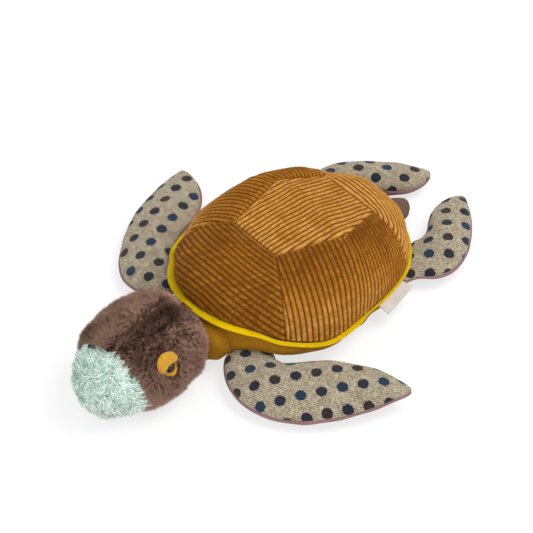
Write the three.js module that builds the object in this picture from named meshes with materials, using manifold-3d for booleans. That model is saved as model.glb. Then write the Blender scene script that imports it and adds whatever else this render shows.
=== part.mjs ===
// A stuffed sea turtle. A corduroy shell of five panels and a velour belly close round the
// body's stuffing. The neck, the fur head with its felt eyes, four knitted flippers and the
// tail are each sewn covers round stuffing of their own.
// Millimetres. +Z is up, the head points to -Y and +X is the turtle's left side.
// The origin is on the floor under the middle of the shell.

import * as THREE from "three";
import Module from "manifold-3d";
import { mergeVertices } from "three/addons/utils/BufferGeometryUtils.js";

// Fabrics and the gaps between sewn pieces
const corduroyThickness = 1.9;
const velourThickness = 1.5;
const knitThickness = 1.6;
const furBackingThickness = 2.2;
const feltThickness = 1.8;
const seamGap = 0.3;
const jointGap = 0.6;
const floorGap = 0.4;
const mergeDistance = 1e-4;

// Shell and body
const shellWidth = 156;
const shellLength = 188;
const rimHeight = 19;
const frontRimRise = 22;
const topPanelFrontWidth = 46.6;
const topPanelMiddleWidth = 79;
const topPanelRearWidth = 52.6;
const topPanelFrontReach = 34.5;
const topPanelRearReach = 57.2;
const topPanelHeight = 68;
const topPanelRearDrop = 8;
const topPanelRise = 3.5;
const panelPuff = 5;
const floorContactDepth = 0.5;
const pipingWidth = 4.2;
const pipingThickness = 2;

// Rim outline: share of half the width, share of half the length, share of the front rise
const rimShares = [
  [0, -1, 1],
  [0.333, -0.926, 0.864],
  [0.615, -0.755, 0.59],
  [0.808, -0.617, 0.32],
  [0.99, -0.31, 0.045],
  [0.945, 0.06, 0],
  [0.86, 0.39, 0],
  [0.705, 0.713, 0.03],
  [0.385, 0.935, 0.17],
  [0, 1, 0.24],
];
const topPanelMiddleShare = 0.59;
const domeRoundnessShare = 0.7;
const bellyRoundnessShare = 0.6;
const topPanelEdgeTiltAngle = 62;

// Rim stations: the rim points are counted from the front middle round by the left side
const rimStations = 2 * (rimShares.length - 1);
const frontSeamStation = 3;
const middleCornerStation = 5;
const rearSeamStation = 7;
const columnsPerStation = 2;
const capLevels = 2;
const domeLevels = 6;
const bellyLevels = 6;

// Side label, a bare folded tab in the rim seam
const labelLength = 31;
const labelWidth = 10.5;
const labelThickness = 0.9;
const labelStation = 6.06;
const labelSlopeAngle = 22;
const labelColumns = 4;

// Flippers and tail: thickness at the root, at the thickest place and the reach of the tip
const frontFlipperSpan = 120;
const frontFlipperRootThickness = 11;
const frontFlipperThickness = 23;
const rearFlipperSpan = 89;
const rearFlipperRootThickness = 10;
const rearFlipperThickness = 21;
const tailSpan = 34;
const tailThickness = 14;
const limbRows = 9;
const limbColumns = 6;
const rootRows = 2;
const limbEdgeRoundnessShare = 0.6;
const limbClosingPower = 5;
const seamAllowanceShare = 1.6;

// Limb outlines: out from the root seam and along it, as shares of the span
const frontFlipperLeadShares = [
  [0, -0.12],
  [0.15, -0.165],
  [0.32, -0.095],
  [0.49, 0.06],
  [0.535, 0.3],
  [0.47, 0.56],
  [0.34, 0.79],
  [0.22, 0.94],
  [0.13, 1.005],
];
const frontFlipperTrailShares = [
  [0, 0.115],
  [0.06, 0.155],
  [0.085, 0.235],
  [0.07, 0.35],
  [0.035, 0.48],
  [0.02, 0.63],
  [0.005, 0.79],
  [0.03, 0.92],
  [0.13, 1.005],
];
const rightFrontTrailShares = [
  [0, 0.115],
  [0.015, 0.175],
  [0.015, 0.265],
  [0, 0.37],
  [-0.02, 0.49],
  [-0.04, 0.64],
  [-0.045, 0.79],
  [-0.01, 0.925],
];
const rearFlipperLeadShares = [
  [0, -0.215],
  [0.14, -0.165],
  [0.285, -0.08],
  [0.435, 0.07],
  [0.51, 0.27],
  [0.55, 0.47],
  [0.56, 0.68],
  [0.52, 0.88],
  [0.44, 1],
];
const rearFlipperTrailShares = [
  [0, 0.238],
  [0.045, 0.32],
  [0.09, 0.44],
  [0.115, 0.55],
  [0.16, 0.66],
  [0.205, 0.78],
  [0.255, 0.89],
  [0.335, 0.98],
  [0.44, 1],
];
const tailLeadShares = [
  [0, -0.44],
  [0.35, -0.44],
  [0.7, -0.37],
  [0.92, -0.22],
  [1, 0],
];
const tailTrailShares = tailLeadShares.map(([out, along]) => [out, -along]);
const thicknessShares = [0, 0.26, 0.75, 1, 0.92, 0.68, 0.45];

// Where each limb is sewn on: middle of its root as a rim station, height and the tip's sag
const leftFrontStation = 1.85;
const rightFrontStation = 2.1;
const rearFlipperStation = 7.15;
const tailStation = 9.2;
const leftFrontHeight = 18;
const rightFrontHeight = 16;
const rearFlipperHeight = 10.5;
const tailHeight = 12;
const rootDepth = 0.2;
const leftFrontSag = 0;
const rightFrontSag = 3;
const rearFlipperSag = 3;
const rightFrontSweepAngle = 13;
const rightFrontWidthShare = 0.77;
const rearFlipperSweepAngle = 3;

// The angles between which the floor is looked for when a limb is laid down
const restSearchUpAngle = 5;
const restSearchDownAngle = 45;
const restSearchSteps = 30;

// How far each limb can be lifted from rest, in degrees
const frontFlipperLiftAngle = 25;
const rearFlipperLiftAngle = 15;
const tailLiftAngle = 20;

// Neck
const neckWidth = 62;
const neckHeight = 37;
const neckHeadWidth = 56;
const neckHeadHeight = 31;
const neckInset = 5;
const headAxisStep = 12;
const neckOpening = 22;
const ballSegments = 16;

// Head: the back of the head and the nose are measured from the turning axis
const headTurnAngle = 9;
const headBackReach = 4;
const headLength = 92;
const headWidth = 79;
const headHeight = 58;
const headFloorGap = 0.5;
const muzzleStart = 71;
const muzzleSlant = 4;
const headRows = 12;
const throatSweepAngle = 70;
const throatColumns = 4;
const cheekColumns = 8;
const muzzleRows = 6;
const headWidthShares = [0.92, 1, 1, 0.98, 0.92, 0.72, 0.62];
const headHeightShares = [0.92, 1, 1, 0.97, 0.93, 0.9, 0.9];
const headBackRoundnessShare = 0.4;
const muzzleRoundnessShare = 0.6;

// Eyes: place on the head, along its length and round its section
const eyeReach = 51;
const leftEyeRiseAngle = 27;
const rightEyeRiseAngle = 21;
const eyeBeadRadius = 3.4;
const eyeShankRadius = 1.2;
const eyeShankLength = 7.5;
const eyeWasherRadius = 4.6;
const eyeWasherThickness = 1;
const washerGap = 1;
const eyeFeltRadius = 8;
const eyelidRadius = 3.4;
const eyelidBow = 8.6;
const eyelidSweepAngle = 175;
const eyelidStartAngle = -8;
const eyelidRoundnessShare = 0.5;
const eyelidRows = 10;
const eyelidSides = 8;
const eyeBeadSteps = 5;
const turnedSides = 14;
const stuffingGap = 1;
const limbStuffingGap = 1.2;
const tailStuffingGap = 0.6;

const wasm = await Module();
wasm.setup();

const sides = [
  ["left", 1],
  ["right", -1],
];
const radians = THREE.MathUtils.degToRad;
const lerp = THREE.MathUtils.lerp;
const halfShellWidth = shellWidth / 2;
const halfShellLength = shellLength / 2;
const neckAxisReach = halfShellLength - neckInset;
const headAxisReach = neckAxisReach + headAxisStep;

// Fabrics
const fabric = (color, roughness) => ({ color, roughness, metalness: 0 });
const corduroy = fabric(0xb07a2c, 0.95);
const velour = fabric(0xa5730f, 0.9);
const yellowTape = fabric(0xf0c800, 0.8);
const brownFur = fabric(0x69503f, 1);
const mintFur = fabric(0xafd7c3, 1);
const knit = fabric(0xb9aa91, 0.95);
const mauveVelour = fabric(0x8c696e, 0.9);
const taupeVelour = fabric(0x785f50, 0.9);
const mustardFelt = fabric(0xdcaa3c, 0.95);
const blackGloss = fabric(0x0a0a0a, 0.15);
const whiteTape = fabric(0xf0ece0, 0.85);
const fibre = fabric(0xf2f0ea, 1);
const clearPlastic = fabric(0xd8d8d8, 0.4);

// Sews grids of points into one closed geometry. Each cell becomes two triangles, points that
// fall together are joined, and a triangle that has lost an edge is left out.
function sewn(grids) {
  const positions = [];
  const faces = [];
  const indexByKey = new Map();
  const indexOf = (point) => {
    const key = point.toArray().map((value) => Math.round(value / mergeDistance)).join();
    if (!indexByKey.has(key)) {
      indexByKey.set(key, positions.length / 3);
      positions.push(...point.toArray());
    }
    return indexByKey.get(key);
  };
  const addFace = (a, b, c) => {
    if (a !== b && b !== c && c !== a) faces.push(a, b, c);
  };
  for (const { rows, turned } of grids) {
    for (let i = 0; i + 1 < rows.length; i += 1) {
      for (let j = 0; j + 1 < rows[i].length; j += 1) {
        const a = indexOf(rows[i][j]);
        const b = indexOf(rows[i][j + 1]);
        const c = indexOf(rows[i + 1][j + 1]);
        const d = indexOf(rows[i + 1][j]);
        if (turned) {
          addFace(a, c, b);
          addFace(a, d, c);
        } else {
          addFace(a, b, c);
          addFace(a, c, d);
        }
      }
    }
  }
  const geometry = new THREE.BufferGeometry();
  geometry.setAttribute("position", new THREE.Float32BufferAttribute(positions, 3));
  geometry.setIndex(faces);
  return geometry;
}

// A grid of points from a function of row and column, each counted from 0 to its number.
function gridOf(rowCount, columnCount, pointAt) {
  const rows = [];
  for (let i = 0; i <= rowCount; i += 1) {
    const row = [];
    for (let j = 0; j <= columnCount; j += 1) row.push(pointAt(i, j));
    rows.push(row);
  }
  return rows;
}

const columnOf = (rows, j) => rows.map((row) => row[j]);

// A layer of fabric between an outer and an inner grid, closed along its edges. A layer that
// runs all the way round has no side edges to close.
function layer(outer, inner, runsRound = false) {
  const last = outer.length - 1;
  const end = outer[0].length - 1;
  const grids = [
    { rows: outer },
    { rows: inner, turned: true },
    { rows: [inner[0], outer[0]] },
    { rows: [outer[last], inner[last]] },
  ];
  if (!runsRound) {
    grids.push({ rows: [columnOf(outer, 0), columnOf(inner, 0)] });
    grids.push({ rows: [columnOf(inner, end), columnOf(outer, end)] });
  }
  return sewn(grids);
}

// Moves the edge of a grid towards its neighbours, to leave room for a seam.
function drawnBack(rows, distance, { start, finish, left, right }) {
  const moved = rows.map((row) => row.map((point) => point.clone()));
  const last = rows.length - 1;
  const end = rows[0].length - 1;
  const step = (to, from) => to.clone().sub(from).setLength(distance);
  rows.forEach((row, i) => {
    if (left) moved[i][0].add(step(row[1], row[0]));
    if (right) moved[i][end].add(step(row[end - 1], row[end]));
  });
  rows[0].forEach((point, j) => {
    if (start) moved[0][j].add(step(rows[1][j], point));
    if (finish) moved[last][j].add(step(rows[last - 1][j], rows[last][j]));
  });
  return moved;
}

// Turns a closed geometry into a solid that can be cut, and back.
function solidOf(geometry) {
  const bare = geometry.clone();
  bare.deleteAttribute("normal");
  bare.deleteAttribute("uv");
  const merged = mergeVertices(bare, mergeDistance);
  return new wasm.Manifold(
    new wasm.Mesh({
      numProp: 3,
      vertProperties: merged.attributes.position.array,
      triVerts: new Uint32Array(merged.index.array),
    }),
  );
}

function geometryOf(solid) {
  const mesh = solid.getMesh();
  const geometry = new THREE.BufferGeometry();
  geometry.setAttribute("position", new THREE.BufferAttribute(mesh.vertProperties, 3));
  geometry.setIndex(new THREE.BufferAttribute(mesh.triVerts, 1));
  return geometry;
}

const cutBy = (geometry, cutters) =>
  geometryOf(cutters.reduce((solid, cutter) => solid.subtract(solidOf(cutter)), solidOf(geometry)));

const turtle = new THREE.Group();

function addPiece(parent, name, geometry, finish) {
  const shaded = geometry.index ? geometry.toNonIndexed() : geometry;
  shaded.computeVertexNormals();
  const mesh = new THREE.Mesh(shaded, new THREE.MeshStandardMaterial(finish));
  mesh.name = name;
  parent.add(mesh);
  return mesh;
}

// Rim and top panel outlines
const rimSide = rimShares.map(
  ([across, along, rise]) =>
    new THREE.Vector3(
      across * halfShellWidth,
      along * halfShellLength,
      rimHeight + rise * frontRimRise,
    ),
);
const mirrored = (point) => new THREE.Vector3(-point.x, point.y, point.z);
const rimCurve = new THREE.CatmullRomCurve3(
  [...rimSide, ...rimSide.slice(1, -1).reverse().map(mirrored)],
  true,
  "catmullrom",
);

function rimPoint(station) {
  const share = (station / rimStations) % 1;
  return rimCurve.getPoint((share + 1) % 1);
}

const topPanelMiddle = lerp(-topPanelFrontReach, topPanelRearReach, topPanelMiddleShare);
const leftCorners = [
  [frontSeamStation, topPanelFrontWidth, -topPanelFrontReach, topPanelHeight],
  [middleCornerStation, topPanelMiddleWidth, topPanelMiddle, topPanelHeight],
  [rearSeamStation, topPanelRearWidth, topPanelRearReach, topPanelHeight - topPanelRearDrop],
].map(([station, width, along, height]) => ({
  station,
  point: new THREE.Vector3(width / 2, along, height),
}));
const rightCorners = leftCorners.map(({ station, point }) => ({
  station: rimStations - station,
  point: mirrored(point),
}));
const corners = [...leftCorners, ...rightCorners.reverse()];

// The point on the top panel's edge that belongs to a rim station
function topEdgePoint(station) {
  const turned = ((station - frontSeamStation) % rimStations) + rimStations;
  const counted = (turned % rimStations) + frontSeamStation;
  const next = corners.findIndex((corner) => corner.station > counted);
  const to = next < 0 ? 0 : next;
  const from = (to + corners.length - 1) % corners.length;
  const toStation = next < 0 ? corners[0].station + rimStations : corners[to].station;
  const share = (counted - corners[from].station) / (toStation - corners[from].station);
  return corners[from].point.clone().lerp(corners[to].point, share);
}

const seamStations = [frontSeamStation, rearSeamStation];
const panelEnds = [
  ...seamStations.map((station) => -station).reverse(),
  ...seamStations,
  ...seamStations.map((station) => rimStations - station).reverse(),
];

// How far a station lies between the two seams of its panel, from 0 to 1
function panelShare(station) {
  const lastSeam = panelEnds[panelEnds.length - 1];
  const counted = station >= lastSeam ? station - rimStations : station;
  const to = panelEnds.findIndex((end) => end > counted);
  return (counted - panelEnds[to - 1]) / (panelEnds[to] - panelEnds[to - 1]);
}

// The direction in which the body's fabric faces: up on the crown, out at the rim, down below
function facing(station, level) {
  const rim = rimPoint(station);
  const outward = new THREE.Vector3(rim.x / halfShellWidth ** 2, rim.y / halfShellLength ** 2, 0);
  outward.normalize();
  const tilts = [90, topPanelEdgeTiltAngle, 0, -90];
  const step = Math.min(Math.floor(level), tilts.length - 2);
  const tilt = radians(lerp(tilts[step], tilts[step + 1], level - step));
  return outward.multiplyScalar(Math.cos(tilt)).setZ(Math.sin(tilt));
}

// A point of the body. Level 0 is the crown, 1 the top panel's edge, 2 the rim and 3 the
// middle of the belly. The depth is measured inwards from the outside of the fabric.
function bodyPoint(station, level, depth) {
  const edge = topEdgePoint(station);
  const rim = rimPoint(station);
  const point = new THREE.Vector3();
  let puff = 0;
  if (level <= 1) {
    const crown = new THREE.Vector3(0, (topPanelRearReach - topPanelFrontReach) / 2, 0);
    crown.z = topPanelHeight - topPanelRearDrop / 2;
    point.copy(crown).lerp(edge, level);
    puff = topPanelRise * (1 - level ** 2);
  } else if (level <= 2) {
    const turn = ((level - 1) * Math.PI) / 2;
    const across = lerp(level - 1, Math.sin(turn), domeRoundnessShare);
    const down = lerp(level - 1, 1 - Math.cos(turn), domeRoundnessShare);
    point.copy(edge).lerp(rim, across);
    point.z = lerp(edge.z, rim.z, down);
    puff = panelPuff * Math.sin(Math.PI * panelShare(station)) * Math.sin(Math.PI * (level - 1));
  } else {
    const turn = ((level - 2) * Math.PI) / 2;
    const across = Math.max(Math.cos(turn), 0) ** bellyRoundnessShare;
    const down = Math.sin(turn) ** bellyRoundnessShare;
    point.set(rim.x * across, rim.y * across, lerp(rim.z, -floorContactDepth, down));
  }
  point.addScaledVector(facing(station, level), puff - depth);
  point.z = Math.max(point.z, depth);
  return point;
}

// The belly's wall at a height, moved out from the fabric
function wallPoint(station, height, proud) {
  const rim = rimPoint(station);
  const down = (rim.z - height) / (rim.z + floorContactDepth);
  const across =
    Math.sqrt(1 - down ** (2 / bellyRoundnessShare)) ** bellyRoundnessShare;
  const point = new THREE.Vector3(rim.x * across, rim.y * across, height);
  const outward = facing(station, 2);
  return point.addScaledVector(outward, proud);
}

function bodyGrid(fromStation, toStation, fromLevel, toLevel, rowCount, depth) {
  const columnCount = (toStation - fromStation) * columnsPerStation;
  return gridOf(rowCount, columnCount, (i, j) =>
    bodyPoint(
      fromStation + j / columnsPerStation,
      lerp(fromLevel, toLevel, i / rowCount),
      depth,
    ),
  );
}

function bodyPanel(fromStation, toStation) {
  const edges = { start: true, finish: true, left: true, right: true };
  const sheets = [0, corduroyThickness].map((depth) =>
    drawnBack(
      bodyGrid(fromStation, toStation, 1, 2, domeLevels, depth),
      seamGap / 2,
      edges,
    ),
  );
  return layer(sheets[1], sheets[0]);
}

function topPanel() {
  const sheets = [0, corduroyThickness].map((depth) =>
    drawnBack(bodyGrid(0, rimStations, 0, 1, capLevels, depth), seamGap / 2, { finish: true }),
  );
  return layer(sheets[1], sheets[0], true);
}

function bellyCover() {
  const sheets = [0, velourThickness].map((depth) =>
    drawnBack(bodyGrid(0, rimStations, 2, 3, bellyLevels, depth), seamGap / 2, { start: true }),
  );
  return layer(sheets[1], sheets[0], true);
}

function bodyStuffing() {
  const depth = Math.max(corduroyThickness, velourThickness) + seamGap;
  const crown = bodyGrid(0, rimStations, 0, 1, capLevels, depth);
  const dome = bodyGrid(0, rimStations, 1, 2, domeLevels, depth);
  const belly = bodyGrid(0, rimStations, 2, 3, bellyLevels, depth);
  return sewn([crown, dome, belly].map((rows) => ({ rows, turned: true })));
}

// The folded tape in the rim seam: a flat ring that follows the rim
function rimPiping() {
  const columnCount = rimStations * columnsPerStation;
  const section = [
    [seamGap, pipingThickness / 2],
    [seamGap + pipingWidth, pipingThickness / 2],
    [seamGap + pipingWidth, -pipingThickness / 2],
    [seamGap, -pipingThickness / 2],
    [seamGap, pipingThickness / 2],
  ];
  const rows = section.map(([out, up]) =>
    gridOf(0, columnCount, (i, j) => {
      const station = j / columnsPerStation;
      const point = rimPoint(station).addScaledVector(facing(station, 2), out);
      point.z += up;
      return point;
    })[0],
  );
  return sewn([{ rows, turned: true }]);
}

// The bare label: a thin folded tab that hangs out of the seam under the piping
function sideLabel() {
  const halfSpan = labelLength / 2;
  const along = rimPoint(labelStation + 1).sub(rimPoint(labelStation - 1));
  const stationsPerLength = 2 / along.length();
  const slope = radians(labelSlopeAngle);
  const sheetAt = (lift) =>
    gridOf(1, labelColumns, (i, j) => {
      const offset = lerp(-halfSpan, halfSpan, j / labelColumns);
      const station = labelStation + offset * stationsPerLength;
      const outward = facing(station, 2);
      const point = rimPoint(station).addScaledVector(outward, seamGap);
      point.z -= pipingThickness / 2 + seamGap + labelThickness;
      point.addScaledVector(outward, i * labelWidth * Math.cos(slope));
      point.z += lift - i * labelWidth * Math.sin(slope);
      return point;
    });
  return layer(sheetAt(0), sheetAt(labelThickness));
}

// Limbs
const planCurve = (shares, span) =>
  new THREE.CatmullRomCurve3(
    shares.map(([out, along]) => new THREE.Vector3(out * span, along * span, 0)),
    false,
    "catmullrom",
  );

function makeLimb({ lead, trail, span, rootThickness, thickness, lift, sag = 0, sweep = 0 }) {
  return {
    leadCurve: planCurve(lead, span),
    trailCurve: planCurve(trail, span),
    span,
    rootRadius: rootThickness / 2,
    radius: thickness / 2,
    sag,
    sweep: radians(sweep),
    lift: radians(lift),
    seamLength: (trail[0][1] - lead[0][1]) * span,
  };
}

// Half the thickness of a limb along its length, from the root to the closed tip
function limbRadius(limb, share) {
  const place = share * (thicknessShares.length - 1);
  const step = Math.min(Math.floor(place), thicknessShares.length - 2);
  const swell = lerp(thicknessShares[step], thicknessShares[step + 1], place - step);
  return lerp(limb.rootRadius, limb.radius, swell);
}

// A point on a limb in its own frame: out from the root, along the root seam, and up. The row
// share runs from -1 at the back of the root to 0 on the seam and 1 at the tip. The column
// share runs from -1 on the leading edge to 1 on the trailing edge.
function limbPoint(limb, rowShare, columnShare, face, depth, halfGap) {
  const round = Math.max(1 - columnShare ** 2, 0) ** limbEdgeRoundnessShare;
  const share = Math.max(rowShare, 0);
  const allowance = depth * seamAllowanceShare;
  const inner = Math.min(share * (1 - (2 * allowance) / limb.span), 1);
  const lead = limb.leadCurve.getPoint(inner);
  const trail = limb.trailCurve.getPoint(inner);
  const width = lead.distanceTo(trail);
  const narrowed = width > 0 ? Math.max(1 - (2 * allowance) / width, 0) : 0;
  const point = lead.clone().lerp(trail, (1 + columnShare * narrowed) / 2);
  if (rowShare < 0) {
    const turn = ((1 + rowShare) * Math.PI) / 2;
    const radius = (limb.rootRadius - depth) * round;
    point.x -= radius * Math.cos(turn);
    point.z = face * (halfGap + radius * Math.sin(turn));
    return point;
  }
  const closing = Math.max(1 - share ** limbClosingPower, 0) ** limbEdgeRoundnessShare;
  const radius = Math.max(limbRadius(limb, inner) - depth, 0) * round * closing;
  const eased = THREE.MathUtils.smoothstep(inner, 0, 1);
  point.applyAxisAngle(new THREE.Vector3(0, 0, 1), limb.sweep * Math.min(2 * eased, 1));
  point.z = face * (halfGap + radius) - limb.sag * eased;
  return point;
}

function limbGrid(limb, face, depth, halfGap) {
  const rowCount = rootRows + limbRows;
  const rows = gridOf(rowCount, limbColumns, (i, j) => {
    const rowShare = i < rootRows ? i / rootRows - 1 : (i - rootRows) / limbRows;
    const eased = rowShare > 0 ? Math.sin((rowShare * Math.PI) / 2) : rowShare;
    const columnShare = -Math.cos((j / limbColumns) * Math.PI);
    return limbPoint(limb, eased, columnShare, face, depth, halfGap);
  });
  return rows;
}

function limbCover(limb, face, thickness) {
  const sheets = [0, thickness].map((depth) => limbGrid(limb, face, depth, seamGap / 2));
  return face > 0 ? layer(sheets[1], sheets[0]) : layer(sheets[0], sheets[1]);
}

// A limb's whole form, closed round its edge
function limbForm(limb, depth) {
  const [top, bottom] = [1, -1].map((face) => limbGrid(limb, face, depth, 0));
  return sewn([{ rows: top, turned: true }, { rows: bottom }]);
}

// The room that a limb needs in the body as it is lifted about its root seam
function limbClearances(limb) {
  const room = -(jointGap + seamGap);
  return [0, 1, 2].map((step) => {
    const lift = (step * limb.lift) / 2;
    return limbForm(limb, room).applyMatrix4(new THREE.Matrix4().makeRotationY(-lift));
  });
}

// Places a limb: its root seam lies on the belly's wall, and it is turned about that seam until
// it lies on the floor. The left side is worked out and the right side mirrors it.
function limbPlacement(limb, station, height, side) {
  const root = wallPoint(station, height, -rootDepth);
  const stationLength = rimPoint(station + 1).distanceTo(rimPoint(station - 1)) / 2;
  const halfSeam = limb.seamLength / 2 / stationLength;
  const ends = [station - halfSeam, station + halfSeam].map((end) => wallPoint(end, height, 0));
  const along = ends[1].clone().sub(ends[0]).normalize();
  const out = new THREE.Vector3(along.y, -along.x, 0);
  const frame = new THREE.Matrix4().makeBasis(out, along, new THREE.Vector3(0, 0, 1));
  frame.setPosition(root);
  const lowest = (angle) => {
    let low = Infinity;
    for (const row of limbGrid(limb, -1, 0, seamGap / 2)) {
      for (const point of row) {
        const turned = point.clone().applyAxisAngle(new THREE.Vector3(0, 1, 0), angle);
        low = Math.min(low, turned.z + root.z);
      }
    }
    return low;
  };
  let up = -radians(restSearchUpAngle);
  let down = radians(restSearchDownAngle);
  for (let i = 0; i < restSearchSteps; i += 1) {
    const middle = (up + down) / 2;
    if (lowest(middle) > floorGap) up = middle;
    else down = middle;
  }
  const placed = frame.multiply(new THREE.Matrix4().makeRotationY(up));
  const mirror = new THREE.Matrix4().makeScale(side, 1, 1);
  return mirror.multiply(placed);
}

const rightFrontLead = frontFlipperLeadShares.map(([out, along]) => [
  out * rightFrontWidthShare,
  along,
]);

const limbs = [
  {
    name: "left_front_flipper",
    station: leftFrontStation,
    height: leftFrontHeight,
    side: 1,
    lead: frontFlipperLeadShares,
    trail: frontFlipperTrailShares,
    span: frontFlipperSpan,
    rootThickness: frontFlipperRootThickness,
    thickness: frontFlipperThickness,
    lift: frontFlipperLiftAngle,
    sag: leftFrontSag,
  },
  {
    name: "right_front_flipper",
    station: rightFrontStation,
    height: rightFrontHeight,
    side: -1,
    lead: rightFrontLead,
    trail: [...rightFrontTrailShares, rightFrontLead.at(-1)],
    span: frontFlipperSpan,
    rootThickness: frontFlipperRootThickness,
    thickness: frontFlipperThickness,
    lift: frontFlipperLiftAngle,
    sag: rightFrontSag,
    sweep: rightFrontSweepAngle,
  },
  ...[1, -1].map((side) => ({
    name: side > 0 ? "left_rear_flipper" : "right_rear_flipper",
    station: rearFlipperStation,
    height: rearFlipperHeight,
    side,
    lead: rearFlipperLeadShares,
    trail: rearFlipperTrailShares,
    span: rearFlipperSpan,
    rootThickness: rearFlipperRootThickness,
    thickness: rearFlipperThickness,
    lift: rearFlipperLiftAngle,
    sag: rearFlipperSag,
    sweep: rearFlipperSweepAngle,
  })),
  {
    name: "tail",
    station: tailStation,
    height: tailHeight,
    side: 1,
    lead: tailLeadShares,
    trail: tailTrailShares,
    span: tailSpan,
    rootThickness: tailThickness,
    thickness: tailThickness,
    lift: tailLiftAngle,
  },
];

const bodyClearances = [];

function addLimb(options) {
  const isTail = options.name === "tail";
  const limb = makeLimb(options);
  const placement = limbPlacement(limb, options.station, options.height, options.side);
  const turned = options.side < 0;
  const place = (geometry) => {
    geometry.applyMatrix4(placement);
    if (turned) {
      const order = geometry.index.array;
      for (let i = 0; i < order.length; i += 3) {
        [order[i + 1], order[i + 2]] = [order[i + 2], order[i + 1]];
      }
    }
    return geometry;
  };
  const thickness = isTail ? velourThickness : knitThickness;
  const topFinish = isTail ? taupeVelour : knit;
  const bottomFinish = isTail ? taupeVelour : mauveVelour;
  const group = new THREE.Group();
  addPiece(group, `${options.name}_top_cover`, place(limbCover(limb, 1, thickness)), topFinish);
  addPiece(
    group,
    `${options.name}_bottom_cover`,
    place(limbCover(limb, -1, thickness)),
    bottomFinish,
  );
  const stuffing = limbForm(limb, thickness + (isTail ? tailStuffingGap : limbStuffingGap));
  addPiece(group, `${options.name}_stuffing`, place(stuffing), fibre);
  turtle.add(group);
  bodyClearances.push(...limbClearances(limb).map(place));
}

limbs.forEach(addLimb);

// Neck: a barrel that nods in the body joined to a flatter ball that turns in the head
function ball(halfAcross, halfAlong, halfHeight, along, poleAxis) {
  const sphere = new THREE.SphereGeometry(1, ballSegments, ballSegments / 2);
  if (poleAxis === "x") sphere.rotateZ(Math.PI / 2);
  if (poleAxis === "z") sphere.rotateX(Math.PI / 2);
  sphere.scale(halfAcross, halfAlong, halfHeight);
  sphere.translate(0, -along, floorGap + neckHeight / 2);
  return sphere;
}

const neckBarrel = (growth) =>
  ball(
    neckWidth / 2 + growth,
    neckHeight / 2 + growth,
    neckHeight / 2 + growth,
    neckAxisReach,
    "x",
  );
const neckBall = (growth) =>
  ball(
    neckHeadWidth / 2 + growth,
    neckHeadWidth / 2 + growth,
    neckHeadHeight / 2 + growth,
    headAxisReach,
    "z",
  );
const neckForm = (growth) => solidOf(neckBarrel(growth)).add(solidOf(neckBall(growth)));
const neckHole = new THREE.CylinderGeometry(
  neckOpening / 2,
  neckOpening / 2,
  neckAxisReach,
  turnedSides,
);
neckHole.translate(0, -(neckAxisReach + headAxisReach) / 2, 0);
neckHole.translate(0, 0, floorGap + neckHeight / 2);

const neck = new THREE.Group();
addPiece(
  neck,
  "neck_cover",
  geometryOf(neckForm(0).subtract(neckForm(-velourThickness)).subtract(solidOf(neckHole))),
  velour,
);
addPiece(neck, "neck_stuffing", geometryOf(neckForm(-velourThickness - seamGap)), fibre);
turtle.add(neck);

// Head
const headCurve = (shares) =>
  new THREE.CatmullRomCurve3(
    shares.map((share, i) => new THREE.Vector3(i, share, 0)),
    false,
    "catmullrom",
  );
const headWidthCurve = headCurve(headWidthShares);
const headHeightCurve = headCurve(headHeightShares);

// A point of the head in its own frame: the nose points to -Y and the turning axis is at the
// origin. The turn along the head runs from 0 at the back to 180 degrees at the nose, and the
// turn round it is 0 on the crown and 90 degrees on the left side.
function headPoint(alongTurn, roundTurn, depth) {
  const share = (1 - Math.cos(alongTurn)) / 2;
  const roundness = lerp(headBackRoundnessShare, muzzleRoundnessShare, share);
  const closing = Math.max(Math.sin(alongTurn), 0) ** roundness;
  const halfWidth = (headWidth / 2) * headWidthCurve.getPoint(share).y;
  const halfHeight = (headHeight / 2) * headHeightCurve.getPoint(share).y;
  const across = Math.max(halfWidth - depth, 0) * closing;
  const up = Math.max(halfHeight - depth, 0) * closing;
  return new THREE.Vector3(
    across * Math.sin(roundTurn),
    -(headBackReach + lerp(depth, headLength - depth, share)),
    headFloorGap + halfHeight + up * Math.cos(roundTurn),
  );
}

// The turn along the head at which the brown fur meets the muzzle's
function muzzleTurn(roundTurn) {
  const reach = muzzleStart + muzzleSlant * Math.cos(roundTurn) - headBackReach;
  return Math.acos(1 - (2 * reach) / headLength);
}

// A panel of the brown fur between two turns round the head
function headPanel(fromTurn, toTurn, columnCount) {
  const sheets = [0, furBackingThickness].map((depth) => {
    const rows = gridOf(headRows, columnCount, (i, j) => {
      const roundTurn = lerp(fromTurn, toTurn, j / columnCount);
      return headPoint((i / headRows) * muzzleTurn(roundTurn), roundTurn, depth);
    });
    return drawnBack(rows, seamGap / 2, { finish: true, left: true, right: true });
  });
  return layer(sheets[1], sheets[0]);
}

function muzzleCover() {
  const columnCount = 2 * cheekColumns + throatColumns;
  const sheets = [0, furBackingThickness].map((depth) => {
    const rows = gridOf(muzzleRows, columnCount, (i, j) => {
      const roundTurn = (2 * Math.PI * j) / columnCount;
      const alongTurn = lerp(muzzleTurn(roundTurn), Math.PI, i / muzzleRows);
      return headPoint(alongTurn, roundTurn, depth);
    });
    return drawnBack(rows, seamGap / 2, { start: true });
  });
  return layer(sheets[1], sheets[0], true);
}

function headStuffing() {
  const depth = furBackingThickness + stuffingGap;
  const columnCount = 2 * cheekColumns + throatColumns;
  const rows = gridOf(headRows, columnCount, (i, j) =>
    headPoint((i / headRows) * Math.PI, (2 * Math.PI * j) / columnCount, depth),
  );
  return sewn([{ rows, turned: true }]);
}

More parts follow.
